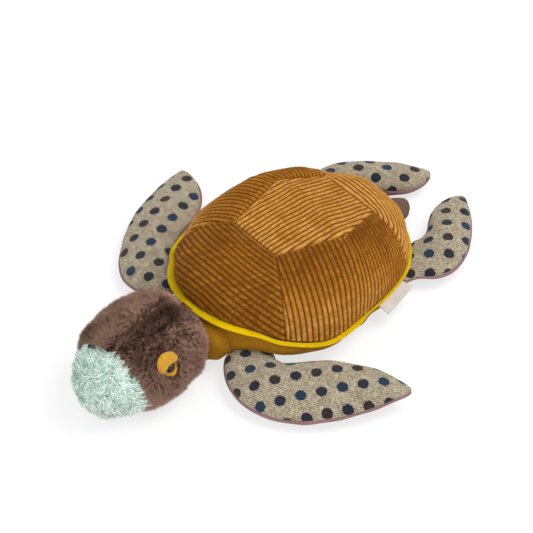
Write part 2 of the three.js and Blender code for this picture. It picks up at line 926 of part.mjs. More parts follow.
// The frame of an eye: outwards from the fur, forwards to the nose, and up the head's side
function eyeFrame(side) {
  const alongTurn = Math.acos(1 - (2 * (eyeReach - headBackReach)) / headLength);
  const riseAngle = side > 0 ? leftEyeRiseAngle : rightEyeRiseAngle;
  const roundTurn = side * radians(90 - riseAngle);
  const nudge = radians(1);
  const place = headPoint(alongTurn, roundTurn, 0);
  const forward = headPoint(alongTurn + nudge, roundTurn, 0).sub(place).normalize();
  const round = headPoint(alongTurn, roundTurn - side * nudge, 0).sub(place).normalize();
  const outward = round.clone().cross(forward).multiplyScalar(side).normalize();
  const up = forward.clone().cross(outward).multiplyScalar(side).normalize();
  return { place, forward, up, outward };
}

function eyeMatrix(side) {
  const { place, forward, up, outward } = eyeFrame(side);
  const frame = new THREE.Matrix4().makeBasis(forward, up.multiplyScalar(-side), outward);
  return frame.setPosition(place);
}

// A ring or button turned about its own Z axis from a profile of radius and height
function turnedPiece(profile) {
  const points = profile.map(([radius, height]) => new THREE.Vector2(radius, height));
  return new THREE.LatheGeometry(points, turnedSides).rotateX(Math.PI / 2);
}

function eyeBead() {
  const profile = [
    [0, -eyeShankLength],
    [eyeShankRadius, -eyeShankLength],
    [eyeShankRadius, seamGap],
    [eyeBeadRadius, seamGap],
  ];
  for (let i = 0; i <= eyeBeadSteps; i += 1) {
    const turn = ((i / eyeBeadSteps) * Math.PI) / 2;
    profile.push([
      eyeBeadRadius * Math.cos(turn),
      feltThickness + eyeBeadRadius * Math.sin(turn),
    ]);
  }
  return turnedPiece(profile);
}

function eyeRing(innerRadius, outerRadius, from, to) {
  return turnedPiece([
    [innerRadius, from],
    [outerRadius, from],
    [outerRadius, to],
    [innerRadius, to],
    [innerRadius, from],
  ]);
}

// The padded lid: a roll of felt bowed over the bead, thick in the middle
function eyelid(side) {
  const base = seamGap + feltThickness + seamGap;
  const rows = gridOf(eyelidRows, eyelidSides, (i, j) => {
    const share = i / eyelidRows;
    const turn = -side * radians(eyelidStartAngle + eyelidSweepAngle * share);
    const radius = eyelidRadius * Math.sin(Math.PI * share) ** eyelidRoundnessShare;
    const round = (2 * Math.PI * j) / eyelidSides;
    const bow = eyelidBow + radius * Math.cos(round);
    return new THREE.Vector3(
      bow * Math.cos(turn),
      bow * Math.sin(turn),
      base + radius + radius * Math.sin(round),
    );
  });
  return sewn([{ rows, turned: side < 0 }]);
}

const head = new THREE.Group();
head.position.set(0, -headAxisReach, 0);
head.rotation.z = radians(headTurnAngle);

const neckClearance = neckBall(jointGap);
neckClearance.translate(0, headAxisReach, 0);
const barrelClearance = neckBarrel(jointGap);
const eyeHoles = [1, -1].map((side) =>
  eyePlug(eyeShankRadius + seamGap, eyeShankLength + seamGap).applyMatrix4(eyeMatrix(side)),
);
const washerPockets = [1, -1].map((side) =>
  eyePlug(eyeWasherRadius + seamGap, eyeShankLength + seamGap).applyMatrix4(eyeMatrix(side)),
);

// A plain plug along an eye's shank, to cut its hole
function eyePlug(radius, depth) {
  return turnedPiece([
    [0, -depth],
    [radius, -depth],
    [radius, depth],
    [0, depth],
  ]);
}

const throatEnd = radians(180 - throatSweepAngle / 2);
for (const [name, side] of sides) {
  const ends = side > 0 ? [0, throatEnd] : [-throatEnd, 0];
  const panel = cutBy(headPanel(...ends, cheekColumns), [neckClearance, ...eyeHoles]);
  addPiece(head, `head_${name}_panel`, panel, brownFur);
}
const throatPanel = headPanel(throatEnd, 2 * Math.PI - throatEnd, throatColumns);
addPiece(head, "head_throat_panel", cutBy(throatPanel, [neckClearance]), brownFur);
addPiece(head, "muzzle_cover", muzzleCover(), mintFur);
addPiece(head, "head_stuffing", cutBy(headStuffing(), [neckClearance, ...washerPockets]), fibre);

for (const [name, side] of sides) {
  const eye = new THREE.Group();
  eye.applyMatrix4(eyeMatrix(side));
  const washerTop = -furBackingThickness - washerGap;
  const washer = eyeRing(
    eyeShankRadius + seamGap,
    eyeWasherRadius,
    washerTop - eyeWasherThickness,
    washerTop,
  );
  const felt = eyeRing(
    eyeBeadRadius + seamGap,
    eyeFeltRadius,
    seamGap,
    seamGap + feltThickness,
  );
  addPiece(eye, `${name}_eye_bead`, eyeBead(), blackGloss);
  addPiece(eye, `${name}_eye_washer`, washer, clearPlastic);
  addPiece(eye, `${name}_eye_felt`, felt, mustardFelt);
  addPiece(eye, `${name}_eyelid`, eyelid(side), mustardFelt);
  head.add(eye);
}
turtle.add(head);

// Body
const body = new THREE.Group();
const bodyCuts = [...bodyClearances, barrelClearance];
addPiece(body, "shell_top_panel", topPanel(), corduroy);
addPiece(body, "shell_front_panel", bodyPanel(-frontSeamStation, frontSeamStation), corduroy);
addPiece(body, "shell_left_panel", bodyPanel(frontSeamStation, rearSeamStation), corduroy);
addPiece(
  body,
  "shell_rear_panel",
  bodyPanel(rearSeamStation, rimStations - rearSeamStation),
  corduroy,
);
addPiece(
  body,
  "shell_right_panel",
  bodyPanel(rimStations - rearSeamStation, rimStations - frontSeamStation),
  corduroy,
);
addPiece(body, "rim_piping", rimPiping(), yellowTape);
addPiece(body, "side_label", sideLabel(), whiteTape);
addPiece(body, "belly_cover", cutBy(bellyCover(), bodyCuts), velour);
addPiece(body, "body_stuffing", cutBy(bodyStuffing(), bodyCuts), fibre);
turtle.add(body);

export default turtle;
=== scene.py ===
"""A stuffed sea turtle: a corduroy shell with yellow piping, a fur head with felt eyes, four
knitted flippers and a velour tail.

Laid out as a Blender add-on. Lengths are metres, and MM turns millimetres into them.
"""

import functools
import math
from dataclasses import dataclass

import bmesh
import bpy
import numpy as np
from bpy.props import FloatProperty, FloatVectorProperty, PointerProperty
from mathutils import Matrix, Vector


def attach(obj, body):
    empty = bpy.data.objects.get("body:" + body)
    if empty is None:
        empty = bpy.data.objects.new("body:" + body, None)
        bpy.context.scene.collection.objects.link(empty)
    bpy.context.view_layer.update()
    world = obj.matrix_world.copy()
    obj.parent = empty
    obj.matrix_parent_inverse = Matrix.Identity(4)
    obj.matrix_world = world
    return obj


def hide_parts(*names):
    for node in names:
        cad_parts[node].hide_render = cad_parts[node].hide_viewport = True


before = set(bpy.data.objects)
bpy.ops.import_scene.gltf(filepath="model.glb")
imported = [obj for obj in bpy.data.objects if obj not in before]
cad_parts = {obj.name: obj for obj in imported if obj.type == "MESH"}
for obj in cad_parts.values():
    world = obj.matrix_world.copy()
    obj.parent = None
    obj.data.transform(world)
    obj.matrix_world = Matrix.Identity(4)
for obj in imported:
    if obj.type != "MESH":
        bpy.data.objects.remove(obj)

bl_info = {
    "name": "Stuffed sea turtle",
    "version": (1, 0, 0),
    "blender": (4, 5, 0),
    "location": "3D View > Sidebar > Turtle",
    "description": "Makes a stuffed sea turtle round its packed model",
    "category": "Object",
}

MM = 0.001
UP = np.array((0.0, 0.0, 1.0))

# Shell outline: share of half the width, share of half the length, share of the front rise
RIM_SHARES = np.array([
    (0, -1, 1), (0.333, -0.926, 0.864), (0.615, -0.755, 0.59),
    (0.808, -0.617, 0.32), (0.99, -0.31, 0.045), (0.945, 0.06, 0),
    (0.86, 0.39, 0), (0.705, 0.713, 0.03), (0.385, 0.935, 0.17),
    (0, 1, 0.24),
])
RIM_STATIONS = 2 * (len(RIM_SHARES) - 1)
FRONT_SEAM, MIDDLE_CORNER, REAR_SEAM = 3, 5, 7
TOP_MIDDLE_SHARE = 0.59
DOME_ROUNDNESS_SHARE = 0.7
BELLY_ROUNDNESS_SHARE = 0.6
FACING_TILTS = (90, 62, 0, -90)

# Limb outlines: out from the root seam and along it, as shares of the span
FRONT_LEAD_SHARES = np.array([
    (0, -0.12), (0.13, -0.155), (0.305, -0.085),
    (0.445, 0.07), (0.495, 0.3), (0.435, 0.555),
    (0.31, 0.77), (0.18, 0.93), (0.105, 0.99),
])
FRONT_TRAIL_SHARES = np.array([
    (0, 0.115), (0.05, 0.16), (0.08, 0.235),
    (0.05, 0.35), (0.01, 0.47), (0, 0.62),
    (0.005, 0.77), (0.055, 0.915), (0.105, 0.99),
])
RIGHT_FRONT_LEAD_SHARES = np.array([
    (0, -0.12), (0.115, -0.165), (0.246, -0.095),
    (0.377, 0.06), (0.42, 0.3), (0.39, 0.56),
    (0.285, 0.79), (0.18, 0.93), (0.115, 0.98),
])
RIGHT_FRONT_TRAIL_SHARES = np.array([
    (0, 0.115), (0.015, 0.175), (0.015, 0.265),
    (0, 0.37), (-0.03, 0.49), (-0.055, 0.64),
    (-0.035, 0.79), (0.03, 0.915), (0.115, 0.98),
])
REAR_LEAD_SHARES = np.array([
    (0, -0.17), (0.13, -0.09), (0.29, -0.065),
    (0.42, 0.035), (0.51, 0.2), (0.545, 0.4),
    (0.55, 0.62), (0.525, 0.83), (0.465, 0.985),
])
REAR_TRAIL_SHARES = np.array([
    (0, 0.238), (0.035, 0.36), (0.1, 0.41),
    (0.15, 0.51), (0.17, 0.64), (0.19, 0.76),
    (0.245, 0.87), (0.345, 0.965), (0.465, 0.985),
])
TAIL_LEAD_SHARES = np.array([(0, -0.44), (0.35, -0.44), (0.7, -0.37), (0.92, -0.22), (1, 0)])
THICKNESS_SHARES = (0, 0.26, 0.75, 1, 0.92, 0.68, 0.45)
LIMB_EDGE_ROUNDNESS_SHARE = 0.6
LIMB_CLOSING_POWER = 5
HANG_SHARE = 0.4
SEAM_ALLOWANCE_SHARE = 1.6

# Head outlines from its back to the nose
HEAD_WIDTH_SHARES = (0.92, 1, 1, 0.98, 0.92, 0.72, 0.62)
HEAD_HEIGHT_SHARES = (0.92, 1, 1, 0.97, 0.93, 0.9, 0.9)
HEAD_BACK_ROUNDNESS_SHARE = 0.4
MUZZLE_ROUNDNESS_SHARE = 0.6
LID_FLATNESS_SHARE = 0.5

# Cloth
CLOTH_THICKNESS = 1.2 * MM
CLOTH_SPECULAR = 0.12
FINE_STEP = 0.55 * MM
COARSE_STEP = 1.1 * MM
SEAM_DEPTH = 1.1 * MM
SEAM_ROLL = 1.4 * MM
SEAM_HOLD = 3 * MM
RIB_HEIGHT = 1.0 * MM
RIB_SINK_SHARE = 0.35
RIB_FADE = 1.8 * MM
FAN_SHARE = 0.4
FOLLOW_EDGE_SHARE = 0.65
SLOPE_LENGTH = 75 * MM
END_PANEL_WIDTH, END_PANEL_STEP = 112 * MM, 0.8 * MM
GATHER_DEPTH, GATHER_REACH = 0.4 * MM, 9 * MM
LUMP_DEPTH, LUMP_REACH, LUMP_START = 0.7 * MM, 34 * MM, 12 * MM
CORNER_DENT, CORNER_DENT_AT, CORNER_DENT_REACH = 2.2 * MM, (5.1, 1.02), (0.28, 0.2)
CORNER_FOLD, CORNER_FOLD_SLANT, CORNER_FOLD_REACH = 1.3 * MM, 0.25, (0.1, 0.36)
FAR_SWELL, FAR_SWELL_AT, FAR_SWELL_REACH = 4.5 * MM, (6.1, 1.22), (0.8, 0.2)

# Piping and label
PIPING_THREAD, LABEL_THREAD = 0.5 * MM, 0.7 * MM
LABEL_STATION, LABEL_SLOPE, LABEL_CURL = 6.06, 22, 0.5 * MM
PIPING_WIDE_UNTIL, PIPING_NARROW_FROM, PIPING_TUCK_STATION = 1.6, 4.8, 5.3
PIPING_OVERLAP, PIPING_SLANT = 0.17, 0.12
PIPING_TUCK_SHARE, PIPING_DROOP_SHARE, PIPING_LIFT_SHARE = 0.3, 0.1, 1.2
PIPING_WAVE, PIPING_WAVE_REACH = 0.35 * MM, 40 * MM
PIPING_UNEVEN_SHARE, PIPING_UNEVEN_REACH = 0.06, 55 * MM
PIPING_EDGE_POWER, PIPING_FACE_POWER, PIPING_SEAM_SHARE = 0.55, 0.7, 0.62

# Painted light and shade on the corduroy's pile, with its own tone, as a share of the way from shaded
# to lit
# Each panel and the sides' slope: painted shade where less light falls and the pile lies towards the
# eye, painted light where more falls
PILE_LIGHT_FRONT, PILE_LIGHT_REAR, PILE_LIGHT_TOP = 0.16, 0.8, 0.72
PILE_LIGHT_SIDE_HIGH, PILE_LIGHT_SIDE_RISE, PILE_LIGHT_FAR_SIDE = 0.07, 0.63, 0.2
# Darker and lighter bands across the ribs, and random patches of the pile's own tone
BAND_SHARE, BAND_REACH, BAND_STRETCH_SHARE = 0.06, 8 * MM, 0.3
PATCH_SHARE, PATCH_REACH = 0.05, 26 * MM
# A painted highlight along the fold beside each seam
FOLD_LIGHT_SHARE, FOLD_LIGHT_PLACE, FOLD_LIGHT_WIDTH = 0.2, 1.9 * MM, 0.9 * MM

# Tufts and clumps of that pile: how many to a rib, and how many to a metre along it
RIB_TUFTS, RIB_CLUMPS = (2.3, 520, 1), (0.9, 240, 1)

# Belly
WRINKLE_DEPTH, WRINKLE_REACH = 0.6 * MM, 24 * MM
BELLY_SEAM_DEPTH, BELLY_SEAM_ROLL = 0.8 * MM, 2 * MM
SHOULDER_SWELL, SHOULDER_AT, SHOULDER_REACH = 5 * MM, (1.1, 10 * MM), (0.45, 9 * MM)
ROOT_DRAW_SHARE, ROOT_REACH_SHARE = 0.2, 0.6
ROOT_BULGE_SHARE, ROOT_BULGE_PLACE_SHARE, ROOT_BULGE_REACH = 0.9, 0.8, 20 * MM

# Limb covers
LIMB_CAP_SHARE = 0.06
LIMB_SEAM_TURN = 13
COVER_STEP, UNDERSIDE_STEP = 0.9 * MM, 1.4 * MM
COVER_GATHER_DEPTH, COVER_GATHER_PITCH, COVER_GATHER_REACH = 0.5 * MM, 6.5 * MM, 7 * MM
COVER_LUMP_DEPTH, COVER_LUMP_REACH, COVER_LUMP_START = 0.6 * MM, 26 * MM, 8 * MM
COVER_ROLL_DEPTH, COVER_ROLL = 0.9 * MM, 1.3 * MM
SPOT_COUNT_START = 40.5
STITCHES_TO_A_SPOT = 13.0
SPOT_FRAY, SPOT_OVERSIZE = 0.6 * MM, 0.25 * MM

# Head and fur
HEAD_LUMP_DEPTH, HEAD_LUMP_REACH = 0.8 * MM, 20 * MM
MUZZLE_LUMP_DEPTH, MUZZLE_LUMP_REACH = 0.7 * MM, 15 * MM
BROW_START_SHARE, BROW_RISE_SHARE = 0.82, 0.12
THROAT_TURN = 145
THROAT_HAIR_SHARE = 0.45
CROWN_SHARE = 0.6
CROWN_SEAM_SWAY, CROWN_SEAM_REACH = 1.4 * MM, 11 * MM
CREASE_WIDTH, CREASE_HAIR_WIDTH = 2.1 * MM, 1.7 * MM
CREST_PLACE, CREST_WIDTH = -8 * MM, 5.5 * MM
MUZZLE_EDGE_REACH = 4 * MM
BROWN_TUFT, BROWN_TUFT_TURN, BROWN_SWIRL, BROWN_SWIRL_REACH = 2.2 * MM, 0.5, 0.7, 18 * MM
MINT_TUFT, MINT_TUFT_TURN, MINT_SWIRL, MINT_SWIRL_REACH = 4.5 * MM, 0.9, 0.8, 12 * MM
BROWN_LEAN, MINT_LEAN = (0.6, 0.14), (0.93, 0.03)
SHORTEST_SHARE, LONGEST_SHARE = 0.75, 1.15
SHORTER_IN_SEAM, SHORTER_AT_EDGE = 0.85, 0.25
PARTED_SHARE, PARTED_REACH = 0.9, 3 * MM

# A coat's name, hairs, length as a share of the pile, width and darkness
UNDERCOAT = ("undercoat", 42000, 0.75, 0.42 * MM, 0.3)
TOPCOAT = ("topcoat", 34000, 1.12, 0.36 * MM, -0.1)
LOCK_COUNT, LOCK_WIDTH = 4200, 1.5 * MM

# How dark a brown hair is by chance, by its tuft and by patches, with painted shade in the crown seam
# and beside it, and painted light beside it on the right
DARK_CHANCE, DARK_TUFT, DARK_PATCH, DARK_PATCH_REACH = 0.14, 0.05, 0.16, 24 * MM
DARK_SEAM, DARK_BESIDE, DARK_BESIDE_PLACE, DARK_BESIDE_WIDTH = 2.4, 0.65, 9 * MM, 13 * MM
DARK_RIGHT, SEAM_LIGHT_SHARE, SEAM_LIGHT_WIDTH = 0.4, 1.8, 13 * MM

# Eyes
SHANK_RADIUS, SHANK_LENGTH = 1.2 * MM, 7 * MM
LID_START_TURN, LID_SPAN_TURN, LID_END_POWER = 8, 175, 0.42

# How deep the stuffing lies
BODY_FIBRE_DEPTH, NECK_FIBRE_DEPTH = 6 * MM, 3 * MM
HEAD_FIBRE_DEPTH, LIMB_FIBRE_DEPTH = 12 * MM, 4.2 * MM

# The photograph's view: degrees round the turtle and up, metres away
CAMERA_TURN, CAMERA_RISE, CAMERA_DISTANCE = 50, 43, 1.6
CAMERA_TARGET = (-19.7 * MM, -6.7 * MM, 9.5 * MM)
CAMERA_SENSOR, CAMERA_LENS = 36, 144.1


def lerp(start, end, share):
    return start + (end - start) * share


def ease(share):
    """Nought to one with a soft start and end."""
    held = np.clip(share, 0, 1)
    return held * held * (3 - 2 * held)


def bell(distance, width, power=2):
    """One at no distance, about a third at the width and nearly nought at twice that."""
    return np.exp(-((distance / width) ** power))


def patch(first, second, middle, reach):
    """A soft patch over two coordinates: one in its middle, fading over its two reaches."""
    return bell(first - middle[0], reach[0]) * bell(second - middle[1], reach[1])


def signed_power(values, power):
    """A power of the values' sizes that keeps their signs."""
    return np.sign(values) * np.abs(values) ** power


def tilted(out, degrees):
    """Level directions turned up by an angle."""
    angle = np.radians(degrees)[..., None]
    return out * np.cos(angle) + UP * np.sin(angle)


def gather_ends(form):
    """Brings a form's last column onto its first, and each end row to that row's middle."""
    form[:, -1] = form[:, 0]
    form[0], form[-1] = form[0].mean(axis=0), form[-1].mean(axis=0)
    return form


def unit(vectors):
    """Vectors brought to length one."""
    return vectors / np.maximum(np.linalg.norm(vectors, axis=-1, keepdims=True), 1e-12)


def tone(red, green, blue):
    """A screen colour from 0 to 255 as linear light."""
    shares = np.array((red, green, blue)) / 255
    return tuple(np.where(shares > 0.04045, ((shares + 0.055) / 1.055) ** 2.4, shares / 12.92))


def curve_at(points, share, closed=False):
    """Points on a smooth curve through the given ones: each span is a cubic whose slope at an end
    is half the way between that end's two neighbours."""
    points = np.asarray(points, float)
    if closed:
        place = (np.asarray(share, float) % 1) * len(points)
        whole = np.floor(place).astype(int)
        around = [points[(whole + step) % len(points)] for step in (-1, 0, 1, 2)]
    else:
        place = np.clip(share, 0, 1) * (len(points) - 1)
        whole = np.clip(np.floor(place).astype(int), 0, len(points) - 2)
        first, last = 2 * points[:1] - points[1:2], 2 * points[-1:] - points[-2:-1]
        longer = np.concatenate([first, points, last])
        around = [longer[whole + step] for step in range(4)]
    before, start, end, after = around
    part = (place - whole)[..., None]
    leaving, arriving = (end - before) / 2, (after - start) / 2
    square = 3 * (end - start) - 2 * leaving - arriving
    cube = 2 * (start - end) + leaving + arriving
    return start + part * (leaving + part * (square + part * cube))


def profile_at(shares, share):
    """A smooth curve of single values, from the first at 0 to the last at 1."""
    return curve_at(np.array(shares, float)[:, None], share)[..., 0]


def ripple(points, reach, seed, waves=9):
    """Smooth uneven heights, mostly from -1 to 1: a sum of sine waves in random directions, each
    about as long as the reach."""
    random = np.random.default_rng(seed)
    ways = unit(random.normal(size=(waves, 3))) * random.uniform(0.7, 1.4, (waves, 1))
    starts = random.uniform(0, 2 * np.pi, waves)
    return np.sin(points @ ways.T * (2 * np.pi / reach) + starts).sum(axis=-1) / math.sqrt(waves)


def wander(points, reach, seed):
    """Three independent ripples as one vector at each point."""
    return np.stack([ripple(points, reach, seed + step) for step in range(3)], axis=-1)


def across_and_along(columns, rows):
    """Shares from 0 to 1 over a grid: across its columns and along its rows."""
    return np.meshgrid(np.linspace(0, 1, columns), np.linspace(0, 1, rows))


def steps_for(size, step):
    return int(math.ceil(size / step)) + 1


def runs(points, axis):
    """The distance travelled over the grid from its first row or column."""
    steps = np.linalg.norm(np.diff(points, axis=axis), axis=-1)
    start = np.zeros_like(np.take(steps, [0], axis=axis))
    return np.concatenate([start, np.cumsum(steps, axis=axis)], axis=axis)


def edge_distance(points, rows=True, columns=True):
    """The distance over the grid to its nearest edge among the ones asked for."""
    found = []
    for axis, wanted in ((0, rows), (1, columns)):
        if wanted:
            run = runs(points, axis)
            found += [run, np.take(run, [-1], axis=axis) - run]
    return np.minimum.reduce(found)


def grid_normals(points, outward):
    """The grid's normals: the cross product of its two directions, turned to the outward side."""
    normals = np.cross(np.gradient(points, axis=1), np.gradient(points, axis=0))
    normals *= np.sign((normals * outward).sum(axis=-1, keepdims=True))
    flat = np.linalg.norm(normals, axis=-1, keepdims=True) < 1e-14
    return unit(np.where(flat, outward, normals))


def grid_faces(rows, columns, start=0):
    index = start + np.arange(rows * columns).reshape(rows, columns)
    corners = index[:-1, :-1], index[:-1, 1:], index[1:, 1:], index[1:, :-1]
    return np.stack(corners, axis=-1).reshape(-1, 4)


def put_object(name, data):
    made = bpy.data.objects.new(name, data)
    bpy.context.scene.collection.objects.link(made)
    return made


def put_mesh(name, points, faces, uv=None, weld=False, pile_tone_and_light=None):
    """Makes an object of points and faces with equal numbers of sides. Its faces point outwards:
    the sum of its cells' volumes over the origin tells which way round they are. The pile's tone,
    with its painted light and shade, is one value for each point, kept as an attribute."""
    points = points.reshape(-1, 3)
    apex = points[faces[:, 0]]
    volume = 0
    for step in range(1, faces.shape[1] - 1):
        pair = np.cross(points[faces[:, step]], points[faces[:, step + 1]])
        volume += (apex * pair).sum()
    if volume < 0:
        faces = faces[:, ::-1]
    count, sides = faces.shape
    mesh = bpy.data.meshes.new(name)
    mesh.vertices.add(len(points))
    mesh.vertices.foreach_set("co", points.astype(np.float32).ravel())
    mesh.loops.add(count * sides)
    mesh.loops.foreach_set("vertex_index", faces.astype(np.int32).ravel())
    mesh.polygons.add(count)
    mesh.polygons.foreach_set("loop_start", np.arange(0, count * sides, sides, dtype=np.int32))
    mesh.polygons.foreach_set("use_smooth", np.ones(count, dtype=bool))
    if uv is not None:
        layer = mesh.uv_layers.new(name="cloth")
        layer.data.foreach_set("uv", uv.reshape(-1, 2)[faces.ravel()].astype(np.float32).ravel())
    if pile_tone_and_light is not None:
        layer = mesh.attributes.new("pile_tone_and_light", "FLOAT", "POINT")
        layer.data.foreach_set("value", pile_tone_and_light.astype(np.float32).ravel())
    mesh.update(calc_edges=True)
    if weld:
        worked = bmesh.new()
        worked.from_mesh(mesh)
        bmesh.ops.remove_doubles(worked, verts=worked.verts, dist=0.001 * MM)
        worked.to_mesh(mesh)
        worked.free()
    return put_object(name, mesh)


def put_layer(name, outer, normals, uv=None, thickness=CLOTH_THICKNESS, weld=False, pile_tone_and_light=None):
    """A closed layer of cloth: the outer grid, the same grid moved in along the normals by the
    cloth's thickness, and a strip round their common edge."""
    rows, columns = outer.shape[:2]
    count = rows * columns
    inner = outer - normals * thickness
    index = np.arange(count).reshape(rows, columns)
    ring = np.concatenate([index[0, :-1], index[:-1, -1], index[-1, :0:-1], index[:0:-1, 0]])
    following = np.roll(ring, -1)
    strip = np.stack([following, ring, ring + count, following + count], axis=-1)
    faces = grid_faces(rows, columns)
    under = grid_faces(rows, columns, count)[:, ::-1]
    points = np.concatenate([outer.reshape(-1, 3), inner.reshape(-1, 3)])
    if uv is not None:
        uv = np.concatenate([uv.reshape(-1, 2)] * 2)
    if pile_tone_and_light is not None:
        pile_tone_and_light = np.concatenate([pile_tone_and_light.ravel()] * 2)
    return put_mesh(name, points, np.concatenate([faces, under, strip]), uv, weld, pile_tone_and_light)


def put_round(name, points, uv=None):
    """A closed form whose grid runs all the way round: its first and last columns fall together,
    and so do the points of its first row and of its last row."""
    rows, columns = points.shape[:2]
    return put_mesh(name, points, grid_faces(rows, columns), uv, weld=True)


def finish_piece(piece, kind, body, nodes=()):
    """Gives a piece its material, its body and the model's nodes it stands for."""
    piece.data.materials.append(finish_for(kind))
    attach(piece, body)
    if nodes:
        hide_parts(*nodes)
    return piece


# Materials

class Finish:
    """One material: a Principled shader and the nodes that feed it."""

    def __init__(self, name, **surface):
        self.material = bpy.data.materials.new(name)
        self.material.use_nodes = True
        self.tree = self.material.node_tree
        self.shader = self.tree.nodes["Principled BSDF"]
        self.shader.inputs["Specular IOR Level"].default_value = CLOTH_SPECULAR
        for socket, value in surface.items():
            self.shader.inputs[socket.replace("_", " ")].default_value = value
        place = self.tree.nodes.new("ShaderNodeTexCoord")
        self.object_place = place.outputs["Object"]
        self.cloth_place = place.outputs["UV"]

    def feed(self, socket, value):
        if isinstance(value, bpy.types.NodeSocket):
            self.tree.links.new(value, socket)
        elif socket.type == "RGBA":
            socket.default_value = (*value[:3], 1)
        else:
            socket.default_value = value

    def node(self, kind, inputs, output=0, **settings):
        """A node with its settings and inputs; gives the asked output."""
        made = self.tree.nodes.new("ShaderNode" + kind)
        for key, value in settings.items():
            setattr(made, key, value)
        for socket, value in inputs.items():
            self.feed(made.inputs[socket], value)
        return made.outputs[output]

    def math(self, operation, *values):
        return self.node("Math", dict(enumerate(values)), operation=operation)

    def vector_math(self, operation, *values, output=0):
        return self.node("VectorMath", dict(enumerate(values)), output, operation=operation)

    def mix(self, share, first, second, kind="MIX"):
        inputs = {0: share, 6: first, 7: second}
        return self.node("Mix", inputs, 2, data_type="RGBA", blend_type=kind)

    def between(self, value, low, high, start=0.0, end=1.0):
        """A value's share of the way from low to high, softly held to start and end."""
        inputs = {0: value, 1: low, 2: high, 3: start, 4: end}
        return self.node("MapRange", inputs, interpolation_type="SMOOTHSTEP")

    def noise(self, size, detail=2.0, roughness=0.5, stretch=None, place=None):
        """Noise of a size, on the object's own coordinates unless another place is given."""
        place = place or self.object_place
        if stretch:
            place = self.stretched(place, stretch)
        inputs = {"Vector": place, "Scale": 1 / size, "Detail": detail, "Roughness": roughness}
        return self.node("TexNoise", inputs)

    def stretched(self, place, scale):
        return self.vector_math("MULTIPLY", place, scale)

    def split(self, place):
        made = self.tree.nodes.new("ShaderNodeSeparateXYZ")
        self.feed(made.inputs[0], place)
        return made.outputs[0], made.outputs[1]

    def bump(self, height, depth, normal=None):
        inputs = {"Height": height, "Distance": depth}
        if normal is not None:
            inputs["Normal"] = normal
        return self.node("Bump", inputs)

    def done(self, colour, normal=None):
        self.feed(self.shader.inputs["Base Color"], colour)
        if normal is not None:
            self.feed(self.shader.inputs["Normal"], normal)
        return self.material


def seen_directly(tree):
    """One where the camera, a mirror or glass looks, and nought where light is only gathered."""
    path = tree.nodes.new("ShaderNodeLightPath")
    seen = path.outputs["Is Camera Ray"]
    for name in ("Is Glossy Ray", "Is Transmission Ray"):
        either = tree.nodes.new("ShaderNodeMath")
        either.operation = "MAXIMUM"
        tree.links.new(seen, either.inputs[0])
        tree.links.new(path.outputs[name], either.inputs[1])
        seen = either.outputs[0]
    return seen


def colours():
    return bpy.context.scene.turtle_colours


def sizes():
    return bpy.context.scene.turtle_sizes


def darker(colour, share):
    return tuple(value * share for value in colour)


def corduroy_finish(name):
    """Ribs follow the cloth's own U, one to each whole number, and V runs along them in metres.
    A point attribute carries the pile's painted light and shade with its own tone. Grooves are
    dark, partly with painted shade, and each rib is broken into tufts."""
    palette = colours()
    finish = Finish(name, Roughness=0.92, Sheen_Weight=0.06, Sheen_Roughness=0.5,
                    Sheen_Tint=(*palette.corduroy_lit, 1))
    wale, _ = finish.split(finish.cloth_place)
    off_middle = finish.math("ABSOLUTE", finish.math("SUBTRACT", finish.math("FRACT", wale), 0.5))
    ridge = finish.between(off_middle, 0.5, 0.2)
    tufts = finish.noise(1, stretch=RIB_TUFTS, place=finish.cloth_place)
    clumps = finish.noise(1, stretch=RIB_CLUMPS, place=finish.cloth_place)
    pile_tone_and_light = finish.node("Attribute", {}, 2, attribute_name="pile_tone_and_light")
    pile_tone_and_light = finish.math("MULTIPLY_ADD", finish.math("SUBTRACT", tufts, 0.5), 0.75, pile_tone_and_light)
    pile_tone_and_light = finish.math("MULTIPLY_ADD", finish.math("SUBTRACT", clumps, 0.5), 0.7, pile_tone_and_light)
    # From the pile's painted shade through its middle colour to its painted light
    pile = finish.mix(finish.between(pile_tone_and_light, -0.1, 0.6), palette.corduroy_shaded, palette.corduroy)
    pile = finish.mix(finish.between(pile_tone_and_light, 0.45, 1.15), pile, palette.corduroy_lit)
    # The grooves: the ground between the ribs with painted shade in the recess, darkest where the pile
    # is shaded
    groove = finish.mix(finish.between(pile_tone_and_light, 0, 1), darker(palette.corduroy_shaded, 0.62),
                        palette.corduroy_groove)
    open_share = finish.between(clumps, 0.25, 0.6, 0.2, 0)
    cloth = finish.mix(finish.math("MAXIMUM", ridge, open_share), groove, pile)
    grain = finish.noise(0.5 * MM, 3)
    height = finish.math("ADD", finish.math("MULTIPLY", tufts, 0.8), grain)
    return finish.done(cloth, finish.bump(height, 0.35 * MM))


def velour_finish(name, colour):
    """Short pile, crushed in soft patches, with a fine grain."""
    tint = [min(value * 1.6, 1) for value in colour]
    finish = Finish(name, Roughness=0.85, Sheen_Weight=0.25, Sheen_Roughness=0.45,
                    Sheen_Tint=(*tint, 1))
    patches = finish.noise(16 * MM, 4, 0.6)
    grain = finish.noise(0.7 * MM, 3)
    base = finish.mix(finish.between(patches, 0.3, 0.7), darker(colour, 0.72), colour)
    cloth = finish.mix(finish.between(grain, 0.25, 0.75), base, finish.mix(0.5, base, colour))
    height = finish.math("ADD", finish.math("MULTIPLY", patches, 2.0), grain)
    return finish.done(cloth, finish.bump(height, 0.3 * MM))


def tape_finish(name, colour, pitch):
    """A plain weave along the cloth's own U and V, both in metres."""
    finish = Finish(name, Roughness=0.85)
    along, across = finish.split(finish.stretched(finish.cloth_place, (2 * math.pi / pitch,) * 3))
    threads = finish.math("MULTIPLY", finish.math("SINE", along), finish.math("SINE", across))
    patches = finish.noise(9 * MM, 3)
    cloth = finish.mix(finish.between(patches, 0.3, 0.75), darker(colour, 0.86), colour)
    cloth = finish.mix(finish.between(threads, -1, 1, 0, 0.3), cloth, darker(colour, 0.8))
    return finish.done(cloth, finish.bump(threads, 0.12 * MM))


